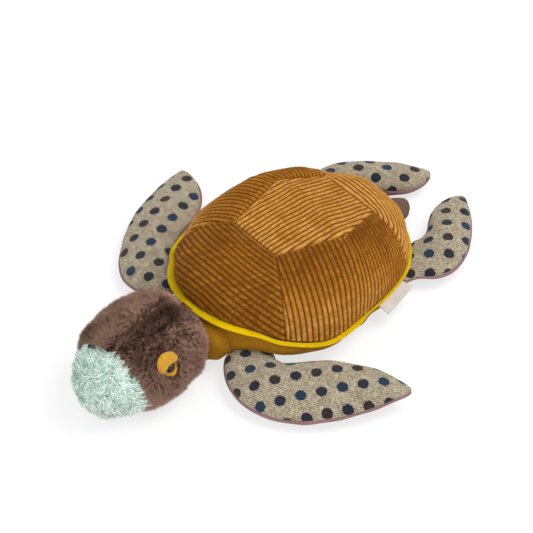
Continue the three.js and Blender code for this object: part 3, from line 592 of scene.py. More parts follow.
def knit_finish(name):
    """The cloth's U and V count the spots, a whole number apart. Both the spots' edges and their
    yarns keep to the stitches, a round number of which lies between two spots."""
    finish = Finish(name, Roughness=0.95, Sheen_Weight=0.1)
    palette = colours()
    middle = (0.5, 0.5, 0)
    counted = finish.stretched(finish.cloth_place, (STITCHES_TO_A_SPOT,) * 3)
    cell = finish.vector_math("ADD", finish.vector_math("FLOOR", counted), middle)
    chance = finish.node("TexWhiteNoise", {"Vector": cell}, noise_dimensions="2D")
    halves = finish.vector_math("FLOOR", finish.stretched(counted, (2, 2, 2)))
    home = finish.vector_math("ADD", halves, middle)
    home = finish.stretched(home, (0.5 / STITCHES_TO_A_SPOT,) * 3)
    offset = finish.vector_math("SUBTRACT", finish.vector_math("FRACTION", home), middle)
    offset = finish.stretched(offset, (sizes().spot_pitch, sizes().spot_row_pitch, 0))
    reach = finish.vector_math("LENGTH", offset, output=1)
    frayed = finish.math("MULTIPLY_ADD", chance, SPOT_FRAY, reach)
    spot = finish.math("LESS_THAN", frayed, sizes().spot_width / 2 + SPOT_OVERSIZE)
    column, row = finish.split(finish.vector_math("FLOOR", home))
    odd_column = finish.math("MODULO", column, 2.0)
    odd_row = finish.math("MODULO", row, 2.0)
    brown_row = finish.mix(odd_column, palette.spot_brown, palette.spot_navy)
    teal_row = finish.mix(odd_column, palette.spot_slate, palette.spot_teal)
    spots = finish.mix(odd_row, brown_row, teal_row)
    across, along = finish.split(finish.vector_math("FRACTION", counted))
    leg = finish.math("ABSOLUTE", finish.math("SUBTRACT", across, 0.5))
    slant = finish.math("ADD", along, leg)
    rows = finish.math("ABSOLUTE", finish.math("SINE", finish.math("MULTIPLY", slant, math.pi)))
    legs = finish.math("SINE", finish.math("MULTIPLY", leg, 2 * math.pi))
    stitch = finish.math("MULTIPLY", rows, legs)
    # Painted shade in the gaps between the stitches, varied at random stitch by stitch
    yarn = finish.between(finish.math("MULTIPLY_ADD", chance, -0.45, stitch), -0.12, 0.5)
    haze = finish.noise(6 * MM, 3)
    ground = finish.mix(yarn, palette.knit_shade_and_flecks, palette.knit)
    ground = finish.mix(finish.between(haze, 0.3, 0.8, 0, 0.3), ground, palette.knit_shade_and_flecks)
    specks = finish.noise(1.1 * MM, 2, 0.8)
    ground = finish.mix(finish.between(specks, 0.5, 0.8, 0, 0.5), ground, palette.knit_shade_and_flecks)
    # Within a spot, the same painted shade between the stitches, on darker yarn
    dark_yarn = finish.mix(yarn, darker(palette.spot_navy, 0.55), spots)
    fuzz = finish.noise(0.6 * MM, 3)
    height = finish.math("ADD", stitch, finish.math("MULTIPLY", fuzz, 0.5))
    return finish.done(finish.mix(spot, ground, dark_yarn), finish.bump(height, 0.35 * MM))


def hair_finish(name, root_colour, tip_colour, dark_share):
    """Each hair's V runs from its root to its tip, and the root's darker colour is painted shade
    between the hairs. Its U is how dark it is, by its tone and painted light and shade: at 1 the
    root's colour all along, and beyond that near black, the painted shade in the crown seam."""
    finish = Finish(name, Roughness=0.8, Sheen_Weight=0.2, Sheen_Roughness=0.4,
                    Sheen_Tint=(*tip_colour, 1))
    shade, along = finish.split(finish.cloth_place)
    hair = finish.mix(finish.between(along, 0.0, dark_share), root_colour, tip_colour)
    shaded = finish.mix(finish.between(shade, 0, 1), hair, root_colour)
    return finish.done(finish.mix(finish.between(shade, 1.1, 1.7), shaded, darker(root_colour, 0.3)))


def skin_finish(name, colour):
    """The backing under a fur, as dark as the shade between its hairs."""
    finish = Finish(name, Roughness=1.0)
    grain = finish.noise(1.2 * MM, 3)
    cloth = finish.mix(finish.between(grain, 0.3, 0.7), darker(colour, 0.7), colour)
    return finish.done(cloth, finish.bump(grain, 0.6 * MM))


def felt_finish(name, colour):
    """Matted fibres over soft patches."""
    finish = Finish(name, Roughness=0.95, Sheen_Weight=0.35, Sheen_Roughness=0.5)
    fibres = finish.noise(0.75 * MM, 4, 0.65)
    patches = finish.noise(5 * MM, 2)
    cloth = finish.mix(finish.between(fibres, 0.35, 0.65), darker(colour, 0.6), colour)
    cloth = finish.mix(finish.between(patches, 0.3, 0.7, 0, 0.4), cloth, darker(colour, 0.75))
    return finish.done(cloth, finish.bump(fibres, 0.35 * MM))


def bead_finish(name, colour):
    """Glossy, with faint scuffs."""
    finish = Finish(name, Roughness=0.08, Coat_Weight=0.25, Coat_Roughness=0.03,
                    Specular_IOR_Level=0.35)
    scuffs = finish.noise(1.5 * MM, 3)
    return finish.done(finish.mix(finish.between(scuffs, 0.4, 0.7), colour, darker(colour, 0.5)))


def cloudy_finish(name, dark, light):
    """Pale moulded plastic, clouded from dark to light."""
    finish = Finish(name, Roughness=0.35, Specular_IOR_Level=0.5)
    return finish.done(finish.mix(finish.noise(3 * MM, 2), light, dark))


def fibre_finish(name, dark, light):
    """Loose strands, with painted shade between them."""
    finish = Finish(name, Roughness=1.0, Sheen_Weight=0.3)
    strands = finish.noise(1.5 * MM, 5, 0.7, stretch=(1, 3, 2))
    cloth = finish.mix(finish.between(strands, 0.3, 0.7), dark, light)
    return finish.done(cloth, finish.bump(strands, 1.2 * MM))


@functools.cache
def finish_for(kind):
    """Each material is made once, when the first piece asks for it."""
    own = colours()
    maker, *values = {
        "corduroy": (corduroy_finish,),
        "mustard_velour": (velour_finish, own.velour),
        "mauve_velour": (velour_finish, own.underside),
        "taupe_velour": (velour_finish, own.tail),
        "yellow_tape": (tape_finish, own.piping, PIPING_THREAD),
        "label_tape": (tape_finish, own.label, LABEL_THREAD),
        "spotted_knit": (knit_finish,),
        "brown_backing": (skin_finish, own.brown_fur_root_shade),
        "brown_pile": (hair_finish, own.brown_fur_root_shade, own.brown_fur, 0.9),
        "mint_backing": (skin_finish, darker(own.mint_fur, 0.7)),
        "mint_pile": (hair_finish, own.mint_fur_root_shade, own.mint_fur, 0.2),
        "mustard_felt": (felt_finish, own.felt),
        "black_bead": (bead_finish, own.bead),
        "clear_plastic": (cloudy_finish, own.plastic_dark, own.plastic),
        "stuffing_fibre": (fibre_finish, own.fibre_shade, own.fibre),
    }[kind]
    return maker(kind, *values)


# The body's form

def rim_at(station):
    """The rim seam: a closed curve through the outline's points, counted from the front middle
    round by the left side."""
    own = sizes()
    half = np.stack([
        RIM_SHARES[:, 0] * own.shell_width / 2,
        RIM_SHARES[:, 1] * own.shell_length / 2,
        own.rim_height + RIM_SHARES[:, 2] * own.front_rim_rise,
    ], axis=-1)
    other = half[-2:0:-1] * (-1, 1, 1)
    return curve_at(np.concatenate([half, other]), np.asarray(station) / RIM_STATIONS, closed=True)


def top_middle():
    own = sizes()
    return lerp(-own.top_front_reach, own.top_rear_reach, TOP_MIDDLE_SHARE)


def top_edge_at(station):
    """The top panel's edge: straight between its six corners."""
    own = sizes()
    high, low = own.top_height, own.top_height - own.top_rear_drop
    corners = [
        (own.top_front_width / 2, -own.top_front_reach, high),
        (own.top_middle_width / 2, top_middle(), high),
        (own.top_rear_width / 2, own.top_rear_reach, low),
    ]
    ring = corners + [(-x, y, z) for x, y, z in reversed(corners)]
    places = [FRONT_SEAM, MIDDLE_CORNER, REAR_SEAM]
    places += [RIM_STATIONS - place for place in reversed(places)]
    places = [places[-1] - RIM_STATIONS, *places, places[0] + RIM_STATIONS]
    ring = np.array([ring[-1], *ring, ring[0]])
    counted = np.asarray(station) % RIM_STATIONS
    return np.stack([np.interp(counted, places, ring[:, axis]) for axis in range(3)], axis=-1)


def panel_share(station):
    """How far a station lies between the two seams of its panel."""
    ends = np.array([-FRONT_SEAM, FRONT_SEAM, REAR_SEAM, RIM_STATIONS - REAR_SEAM,
                     RIM_STATIONS - FRONT_SEAM])
    counted = (np.asarray(station) + FRONT_SEAM) % RIM_STATIONS - FRONT_SEAM
    panel = np.clip(np.searchsorted(ends, counted, side="right") - 1, 0, len(ends) - 2)
    return (counted - ends[panel]) / (ends[panel + 1] - ends[panel])


def facing_at(station, level):
    """Which way the body faces: up on the crown, out at the rim and down under the belly."""
    own = sizes()
    rim = rim_at(station)
    out = np.stack([rim[..., 0] / own.shell_width ** 2, rim[..., 1] / own.shell_length ** 2,
                    np.zeros_like(rim[..., 0])], axis=-1)
    return tilted(unit(out), np.interp(level, range(len(FACING_TILTS)), FACING_TILTS))


def body_at(station, level, depth=0.0):
    """The shell from level 1 at the top panel's edge to 2 at the rim, and the belly from there to
    3 at its middle. The shell runs between a straight and a round slope and puffs out between its
    seams; the belly is a rounded square quarter, flat on the floor."""
    own = sizes()
    station, level = np.broadcast_arrays(np.asarray(station, float), np.asarray(level, float))
    edge, rim = top_edge_at(station), rim_at(station)
    turn = (np.clip(level, 1, 2) - 1) * np.pi / 2
    across = lerp(turn * 2 / np.pi, np.sin(turn), DOME_ROUNDNESS_SHARE)
    down = lerp(turn * 2 / np.pi, 1 - np.cos(turn), DOME_ROUNDNESS_SHARE)
    dome = lerp(edge, rim, across[..., None])
    dome[..., 2] = lerp(edge[..., 2], rim[..., 2], down)
    puff = own.panel_puff * np.sin(np.pi * panel_share(station)) * np.sin(2 * turn)
    turn = (np.clip(level, 2, 3) - 2) * np.pi / 2
    across = np.clip(np.cos(turn), 0, None) ** BELLY_ROUNDNESS_SHARE
    down = np.sin(turn) ** BELLY_ROUNDNESS_SHARE
    belly = np.stack([rim[..., 0] * across, rim[..., 1] * across,
                      lerp(rim[..., 2], -own.floor_contact_depth, down)], axis=-1)
    under = level > 2
    point = np.where(under[..., None], belly, dome)
    point = point + facing_at(station, level) * (np.where(under, 0, puff) - depth)[..., None]
    point[..., 2] = np.maximum(point[..., 2], depth)
    return point


def rib(wales):
    """The height of a corduroy rib, 0 in the groove and 1 on top, one for each whole number."""
    return 1 - np.abs(2 * (wales % 1) - 1) ** 3


def put_panel(name, base, facing, seam_out, wales, length, dents, pile_tone_and_light, seed, node):
    """A panel of corduroy: ribs stand on the surface, its edges roll into the seams, against the
    way out of them, and the cloth near a seam is gathered by its thread. On the pile lie darker
    and lighter bands across the ribs, random patches of tone, and a painted highlight along the fold
    beside a seam."""
    near = edge_distance(base)
    normals = grid_normals(base, facing)
    ribs = RIB_HEIGHT * (rib(wales) - RIB_SINK_SHARE) * ease(near / RIB_FADE)
    gathers = GATHER_DEPTH * ripple(base, GATHER_REACH, seed) * np.exp(-near / GATHER_REACH)
    lumps = LUMP_DEPTH * ripple(base, LUMP_REACH, seed + 1) * ease(near / LUMP_START)
    held = (gathers - dents) * ease(near / SEAM_HOLD)
    points = base + normals * (ribs + lumps + held)[..., None]
    points -= seam_out * (SEAM_DEPTH * bell(near, SEAM_ROLL))[..., None]
    # Painted light and shade on the pile: bands across the ribs, random patches of tone, and a painted
    # highlight on the fold by the seam
    across = wales * sizes().wale_pitch * BAND_STRETCH_SHARE
    bands = np.stack([length, across, np.zeros_like(across)], axis=-1)
    pile_tone_and_light = pile_tone_and_light + BAND_SHARE * ripple(bands, BAND_REACH, seed + 2)
    pile_tone_and_light = pile_tone_and_light + PATCH_SHARE * ripple(base, PATCH_REACH, seed + 3)
    pile_tone_and_light = pile_tone_and_light + FOLD_LIGHT_SHARE * bell(near - FOLD_LIGHT_PLACE, FOLD_LIGHT_WIDTH)
    piece = put_layer(name, points, normals, np.stack([wales, length], axis=-1), pile_tone_and_light=pile_tone_and_light)
    return finish_piece(piece, "corduroy", "torso", [node])


def out_of_seams(facing, level):
    """The way out of a side's seams: up at the top panel's, and as the body faces at the rest."""
    share = np.clip((level - 1) / 0.15, 0, 1)[..., None]
    return unit(lerp(UP, facing, share))


def side_panel(name, side, seed, node):
    """A side panel: its ribs run from the top panel down to the rim and fan out on the way. It is
    dented under the top panel's middle corner, where a short fold runs down. The far one is
    stuffed fuller behind."""
    own = sizes()
    columns = steps_for(own.shell_length * 0.7, FINE_STEP)
    rows = steps_for(SLOPE_LENGTH, COARSE_STEP)
    across, along = across_and_along(columns, rows)
    station = lerp(FRONT_SEAM, REAR_SEAM, across)
    level = 1 + along
    base = body_at(station, level)
    widths = runs(base, 1)[:, -1:]
    fanned = lerp(widths, widths[rows // 2], FAN_SHARE)
    wales = (across - 0.5) * fanned / own.wale_pitch
    # Painted light and shade on the pile: dark under the top panel's edge, lighter down to the rim,
    # less so towards the rear
    towards_rear = 1 - 0.4 * ease((station - 5.2) / 1.2)
    pile_tone_and_light = PILE_LIGHT_SIDE_HIGH + PILE_LIGHT_SIDE_RISE * ease((level - 1.1) / 0.75) * towards_rear
    dents = CORNER_DENT * patch(station, level, CORNER_DENT_AT, CORNER_DENT_REACH)
    slanted = station - CORNER_FOLD_SLANT * (level - 1)
    dents += CORNER_FOLD * patch(slanted, level, (MIDDLE_CORNER, 1), CORNER_FOLD_REACH)
    # The far side's pile is painted lighter, and that side is stuffed fuller behind
    if side < 0:
        pile_tone_and_light = pile_tone_and_light + PILE_LIGHT_FAR_SIDE
        dents -= FAR_SWELL * patch(station, level, FAR_SWELL_AT, FAR_SWELL_REACH)
    mirror = np.array((side, 1, 1))
    facing = facing_at(station, level)
    seam_out = out_of_seams(facing, level)
    return put_panel(name, base * mirror, facing * mirror, seam_out * mirror, wales, runs(base, 0),
                     dents, pile_tone_and_light, seed, node)


def end_panel(name, from_station, to_station, pile_tone_and_light, seed, node):
    """The front or rear panel: its ribs run from side to side, and are counted partly by the
    distance from the top panel's edge and partly by upright planes across the turtle."""
    own = sizes()
    columns = steps_for(END_PANEL_WIDTH, END_PANEL_STEP)
    rows = steps_for(SLOPE_LENGTH, FINE_STEP)
    across, along = across_and_along(columns, rows)
    station = lerp(from_station, to_station, across)
    level = 1 + along
    base = body_at(station, level)
    middle = base[:, columns // 2]
    forward = np.abs(middle[:, 1] - middle[0, 1])
    down_middle = runs(middle[:, None], 0)[:, 0]
    out = np.abs(base[..., 1]) - abs(middle[0, 1])
    planes = np.interp(out, forward, down_middle) - np.clip(-out, 0, None)
    wales = lerp(planes, runs(base, 0), FOLLOW_EDGE_SHARE) / own.wale_pitch
    facing = facing_at(station, level)
    return put_panel(name, base, facing, out_of_seams(facing, level), wales, runs(base, 1),
                     np.zeros_like(out), pile_tone_and_light, seed, node)


def top_panel():
    """The long hexagon on the crown: its width runs straight to its middle corners, and a gauge
    that is 0 at the crown and 1 at the edge makes it rise to a soft crown."""
    own = sizes()
    rows = steps_for(own.top_front_reach + own.top_rear_reach, COARSE_STEP)
    columns = steps_for(own.top_middle_width, FINE_STEP)
    share, along = across_and_along(columns, rows)
    across = 2 * share - 1
    y = lerp(-own.top_front_reach, own.top_rear_reach, along)
    places = [-own.top_front_reach, top_middle(), own.top_rear_reach]
    widths = [own.top_front_width, own.top_middle_width, own.top_rear_width]
    x = across * (np.interp(y, places, widths) / 2)
    crown = (own.top_rear_reach - own.top_front_reach) / 2
    ends = np.where(y < crown, (crown - y) / (crown + own.top_front_reach),
                    (y - crown) / (own.top_rear_reach - crown))
    gauge = np.maximum(np.abs(across), ends)
    high = own.top_height
    edge_height = np.interp(y, [top_middle(), own.top_rear_reach], [high, high - own.top_rear_drop])
    soft = (1 - across ** 2) * (1 - ends ** 2)
    base = np.stack([x, y, edge_height + own.top_rise * soft], axis=-1)
    out = unit(np.stack([x, y - crown, np.zeros_like(x)], axis=-1))
    facing = tilted(out, lerp(FACING_TILTS[0], FACING_TILTS[1], gauge ** 2))
    return put_panel("shell_top_corduroy", base, facing, np.broadcast_to(UP, base.shape),
                     x / own.wale_pitch + 0.5, y, np.zeros_like(x), PILE_LIGHT_TOP, 11, "shell_top_panel")


# Limbs

@dataclass
class Limb:
    """A flipper or the tail: its outline in the plane of its root seam, and where it is sewn on."""

    name: str
    side: int
    station: float
    height: float
    span: float
    root: float
    thickness: float
    lead: np.ndarray
    trail: np.ndarray
    sag: float = 0.0
    sweep: float = 0.0
    hang: float = 0.0
    spots: tuple = (0.0, 0.0, 0.0)
    seed: int = 0


def limb_at(limb, row, turn, depth=0.0):
    """A point of a limb in its own frame: out from the root, along the root seam, and up. The row
    runs from -1 at the back of the root over 0 on the seam to 1 at the tip. The turn runs round
    the section: 0 on the leading edge, a quarter on top, a half on the trailing edge."""
    row, turn = np.broadcast_arrays(row, turn)
    across = -np.cos(turn)
    rounded = np.clip(1 - across ** 2, 0, None) ** LIMB_EDGE_ROUNDNESS_SHARE
    face = np.sign(np.sin(turn))
    share = np.clip(row, 0, 1)
    allowance = depth * SEAM_ALLOWANCE_SHARE
    inner = share * (1 - 2 * allowance / limb.span)
    outline = np.concatenate([limb.lead, limb.trail[-2::-1]]) * limb.span
    lead, trail = curve_at(outline, inner / 2), curve_at(outline, 1 - inner / 2)
    width = np.linalg.norm(trail - lead, axis=-1)
    narrowed = np.clip(1 - 2 * allowance / np.maximum(width, 1e-9), 0, 1)
    plan = lerp(lead, trail, ((1 + across * narrowed) / 2)[..., None])
    cap = (1 + np.clip(row, -1, 0)) * np.pi / 2
    place = share * (len(THICKNESS_SHARES) - 1)
    swell = np.interp(place, range(len(THICKNESS_SHARES)), THICKNESS_SHARES)
    closing = np.clip(1 - share ** LIMB_CLOSING_POWER, 0, None) ** LIMB_EDGE_ROUNDNESS_SHARE
    radius = np.clip(lerp(limb.root, limb.thickness, swell) / 2 - depth, 0, None) * rounded * closing
    eased = ease(inner)
    sweep = math.radians(limb.sweep) * np.minimum(2 * eased, 1)
    out = plan[..., 0] * np.cos(sweep) - plan[..., 1] * np.sin(sweep) - radius * np.cos(cap)
    along = plan[..., 0] * np.sin(sweep) + plan[..., 1] * np.cos(sweep)
    hang = limb.hang * (1 - ease(share / HANG_SHARE))
    return np.stack([out, along, face * radius * np.sin(cap) - limb.sag * eased - hang], axis=-1)


def limb_frame(limb):
    """Where a limb is sewn on: its root seam lies on the belly's wall at a height, and it is turned
    down about that seam until it lies on the floor."""
    own = sizes()

    def wall(station):
        rim = rim_at(station)
        down = (rim[2] - limb.height) / (rim[2] + own.floor_contact_depth)
        across = math.sqrt(1 - down ** (2 / BELLY_ROUNDNESS_SHARE)) ** BELLY_ROUNDNESS_SHARE
        return np.array((rim[0] * across, rim[1] * across, limb.height))

    root = wall(limb.station) - facing_at(limb.station, 2.0) * own.root_depth
    per_station = np.linalg.norm(rim_at(limb.station + 1) - rim_at(limb.station - 1)) / 2
    half = (limb.trail[0, 1] - limb.lead[0, 1]) * limb.span / 2 / per_station
    along = unit(wall(limb.station + half) - wall(limb.station - half))
    out = np.array((along[1], -along[0], 0))
    rows = np.linspace(0, 1, 10)[:, None]
    under = limb_at(limb, np.sin(rows * np.pi / 2), -np.linspace(0, np.pi, 7)[None])
    up, down = -math.radians(5), math.radians(45)
    for _ in range(30):
        middle = (up + down) / 2
        lowest = (under[..., 2] * math.cos(middle) - under[..., 0] * math.sin(middle)).min()
        if lowest + limb.height > own.floor_gap:
            up = middle
        else:
            down = middle
    return root, out, along, up


def put_limb_in_place(limb, points, place):
    """Moves points, or turns directions when there is no place, from the limb's frame to the
    turtle's."""
    root, out, along, angle = place
    forward = points[..., 0] * math.cos(angle) + points[..., 2] * math.sin(angle)
    up = points[..., 2] * math.cos(angle) - points[..., 0] * math.sin(angle)
    moved = forward[..., None] * out + points[..., 1:2] * along + up[..., None] * UP
    return (moved + root) * np.array((limb.side, 1, 1))


def spots_counted(limb, base):
    """A cover's U and V. It is laid flat: along the middle of the limb in its plane, and out from
    there by the distance over the surface. Then it is turned and shifted to the limb's own place
    in the lattice of spots, and counted in spots."""
    middle = base.shape[1] // 2
    distance = runs(base, 1)
    distance = distance - distance[:, middle:middle + 1]
    sideways = unit(base[:, -1:, :2] - base[:, :1, :2])
    flat = base[:, middle:middle + 1, :2] + sideways * distance[..., None]
    degrees, *start = limb.spots
    cosine, sine = math.cos(math.radians(degrees)), math.sin(math.radians(degrees))
    out, along = np.moveaxis(flat - np.array(start) * MM, -1, 0)
    turned = np.stack([out * cosine + along * sine, along * cosine - out * sine], axis=-1)
    return turned / (sizes().spot_pitch, sizes().spot_row_pitch) + SPOT_COUNT_START


def limb_cover(limb, part, place, from_turn, to_turn, kind, nodes, step=COVER_STEP):
    """One cover of a limb, between two turns round its section. Its edges roll into the seam and
    the cloth is gathered at the root."""
    rows = steps_for(limb.span * 1.15, step)
    columns = steps_for(limb.span * 0.75, step) | 1
    across, along = across_and_along(columns, rows)
    row = np.where(along < LIMB_CAP_SHARE, along / LIMB_CAP_SHARE - 1,
                   np.sin((along - LIMB_CAP_SHARE) / (1 - LIMB_CAP_SHARE) * np.pi / 2))
    turn = lerp(from_turn, to_turn, across)
    base = limb_at(limb, row, turn)
    straight_out = base - limb_at(limb, row, turn, 0.5 * MM)
    normals = grid_normals(base, straight_out + UP * 1e-6 * np.sign(np.sin(to_turn)))
    near = edge_distance(base, rows=False)
    root_run = runs(base, 0)
    from_root = np.abs(root_run - root_run[:1] - root_run[int(rows * LIMB_CAP_SHARE)])
    gathers = COVER_GATHER_DEPTH * np.exp(-from_root / COVER_GATHER_REACH)
    gathers *= np.sin(base[..., 1] * 2 * np.pi / COVER_GATHER_PITCH)
    lumps = COVER_LUMP_DEPTH * ripple(base, COVER_LUMP_REACH, limb.seed) * ease(near / COVER_LUMP_START)
    roll = COVER_ROLL_DEPTH * bell(near, COVER_ROLL)
    points = base + normals * (gathers + lumps - roll)[..., None]
    no_root = (np.zeros(3), *place[1:])
    piece = put_layer(f"{limb.name}_{part}", put_limb_in_place(limb, points, place),
                      put_limb_in_place(limb, normals, no_root), spots_counted(limb, base), weld=True)
    return finish_piece(piece, kind, limb.name, nodes)


# The head's form

def head_at(along, around, depth=0.0):
    """A point of the head in its own frame, with the nose to -Y and the turning axis at nought.
    The turn along runs from 0 at the back to a half at the nose; the turn around is 0 on the
    crown and a quarter on the left side. Each section is an ellipse that closes at both ends."""
    own = sizes()
    along, around = np.broadcast_arrays(along, around)
    share = (1 - np.cos(along)) / 2
    roundness = lerp(HEAD_BACK_ROUNDNESS_SHARE, MUZZLE_ROUNDNESS_SHARE, share)
    closing = np.clip(np.sin(along), 0, None) ** roundness
    half_width = own.head_width / 2 * profile_at(HEAD_WIDTH_SHARES, share)
    half_height = own.head_height / 2 * profile_at(HEAD_HEIGHT_SHARES, share)
    return np.stack([
        np.clip(half_width - depth, 0, None) * closing * np.sin(around),
        -(own.head_back_reach + lerp(depth, own.head_length - depth, share)),
        own.head_floor_gap + half_height
        + np.clip(half_height - depth, 0, None) * closing * np.cos(around),
    ], axis=-1)


def turned_head(vectors):
    """Turns directions from the head's frame to the turtle's."""
    angle = math.radians(sizes().head_turn)
    x, y, z = np.moveaxis(vectors, -1, 0)
    return np.stack([x * math.cos(angle) - y * math.sin(angle),
                     x * math.sin(angle) + y * math.cos(angle), z], axis=-1)


def placed_head(points):
    return turned_head(points) - np.array((0, sizes().head_axis_reach, 0))


def muzzle_turn(around):
    """The turn along the head at which the brown fur meets the muzzle's."""
    own = sizes()
    reach = own.muzzle_start + own.muzzle_slant * np.cos(around) - own.head_back_reach
    return np.arccos(1 - 2 * reach / own.head_length)


def eye_frame(side):
    """An eye's place on the head, and its directions forwards, up and out, in the turtle's
    frame."""
    own = sizes()
    along = math.acos(1 - 2 * (own.eye_reach - own.head_back_reach) / own.head_length)
    rise = own.left_eye_rise if side > 0 else own.right_eye_rise
    around = side * math.radians(90 - rise)
    nudge = math.radians(1)
    place = head_at(along, around)
    forward = unit(head_at(along + nudge, around) - place)
    rising = unit(head_at(along, around - side * nudge) - place)
    outward = unit(np.cross(rising, forward) * side)
    up = unit(np.cross(forward, outward) * side)
    place = place - outward * (own.eye_sink if side > 0 else own.far_eye_sink)
    return placed_head(place), turned_head(forward), turned_head(up), turned_head(outward)


def from_eye(side, points):
    """Moves points from an eye's frame of forwards, up and out to the turtle's."""
    place, *ways = eye_frame(side)
    return place + points @ np.array(ways)


def scatter(points, normals, count, random):
    """Places spread evenly over a grid: a cell is drawn by its area, then a place inside it by two
    even chances."""
    a, b = points[:-1, :-1], points[:-1, 1:]
    c, d = points[1:, 1:], points[1:, :-1]
    areas = np.linalg.norm(np.cross(c - a, d - b), axis=-1).ravel()
    cells = random.choice(len(areas), count, p=areas / areas.sum())
    row, column = np.unravel_index(cells, a.shape[:2])
    u, v = random.random((2, count, 1))

    def inside(grid):
        upper = lerp(grid[row, column], grid[row, column + 1], u)
        lower = lerp(grid[row + 1, column], grid[row + 1, column + 1], u)
        return lerp(upper, lower, v)

    return inside(points), unit(inside(normals))


def tufts_of(roots, size, seed):
    """The number of each root's tuft: roots in the same cell of an uneven lattice share one."""
    uneven = roots + wander(roots, 5 * size, seed) * (0.45 * size)
    cells = np.floor(uneven / size).astype(int)
    return np.unique(cells, axis=0, return_inverse=True)[1].ravel()


@dataclass
class Pile:
    """One kind of hair: its width at the root, its rings of corners below the tip, how far its tip
    is drawn to its tuft's middle, its curl as a share of its length, and how late it tapers."""

    width: float
    rings: int
    gather: float
    curl: float
    bluntness: float


def laid_flat(combs, normals):
    """Directions brought into the plane of the skin."""
    return unit(combs - normals * (combs * normals).sum(axis=-1, keepdims=True))


def put_hairs(name, pile, roots, normals, combs, lengths, lean, tufts, shades, random):
    """Tapered three-sided hairs. Each leaves the skin along its normal and bends towards its comb
    direction with a power of its height, curls in a circle of its own, and its tip is drawn to the
    middle of its tuft's tips. None reaches into the floor."""
    count, rings = len(roots), pile.rings
    heights = np.linspace(0, 1, rings + 1)
    sideways = unit(np.cross(normals, combs))
    rise = np.sqrt(np.clip(1 - lean ** 2, 0.05, 1))
    tips = roots + lengths[:, None] * (normals * rise + combs * lean)
    members = np.maximum(np.bincount(tufts), 1)
    middles = np.stack([np.bincount(tufts, tips[:, axis]) / members for axis in range(3)], axis=-1)
    pull = (middles[tufts] - tips) * pile.gather
    phase = random.uniform(0, 2 * np.pi, count)
    centres = []
    for height in heights:
        bent = roots + lengths[:, None] * (normals * rise * height + combs * lean * height ** 1.6)
        swing = pile.curl * lengths * math.sin(np.pi * height) ** 0.8
        bent = bent + sideways * (swing * np.cos(phase + 3 * height))[:, None]
        centres.append(bent + pull * height ** 1.5)
    centres = np.stack(centres, axis=1)
    other = np.cross(normals, sideways)
    corner_turns = np.arange(3)[:, None] * 2 * np.pi / 3
    spokes = sideways[:, None] * np.cos(corner_turns) + other[:, None] * np.sin(corner_turns)
    taper = (1 - heights[:-1] ** pile.bluntness) * pile.width / 2
    ringed = centres[:, :-1, None] + spokes[:, None] * taper[None, :, None, None]
    points = np.concatenate([ringed.reshape(count, -1, 3), centres[:, -1:]], axis=1)
    points[..., 2] = np.maximum(points[..., 2], sizes().floor_gap / 2)
    faces = [(0, 2, 1)]
    for corner in range(3 * (rings - 1)):
        following = corner + 1 if corner % 3 < 2 else corner - 2
        faces += [(corner, following, following + 3), (corner, following + 3, corner + 3)]
    last = 3 * (rings - 1)
    faces += [(last + side, last + (side + 1) % 3, 3 * rings) for side in range(3)]
    per_hair = points.shape[1]
    all_faces = (np.arange(count)[:, None, None] * per_hair + np.array(faces)).reshape(-1, 3)
    shade = np.repeat(shades[:, None], per_hair, axis=1)
    up = np.append(np.repeat(heights[:-1], 3), 1.0)
    uv = np.stack([shade, np.broadcast_to(up, shade.shape)], axis=-1)
    return put_mesh(name, points, all_faces, uv)


def fewer(count):
    """The number of hairs, as given."""
    return count


# Sizes and colours

def sized(name, description, millimetres):
    return FloatProperty(name=name, description=description, default=millimetres * MM,
                         min=0, subtype="DISTANCE", unit="LENGTH")


def angled(name, description, degrees):
    return FloatProperty(name=name, description=description + ", in degrees", default=degrees,
                         min=0, max=90)


def coloured(name, description, red, green, blue):
    return FloatVectorProperty(name=name, description=description, size=3, min=0, max=1,
                               subtype="COLOR", default=tone(red, green, blue))


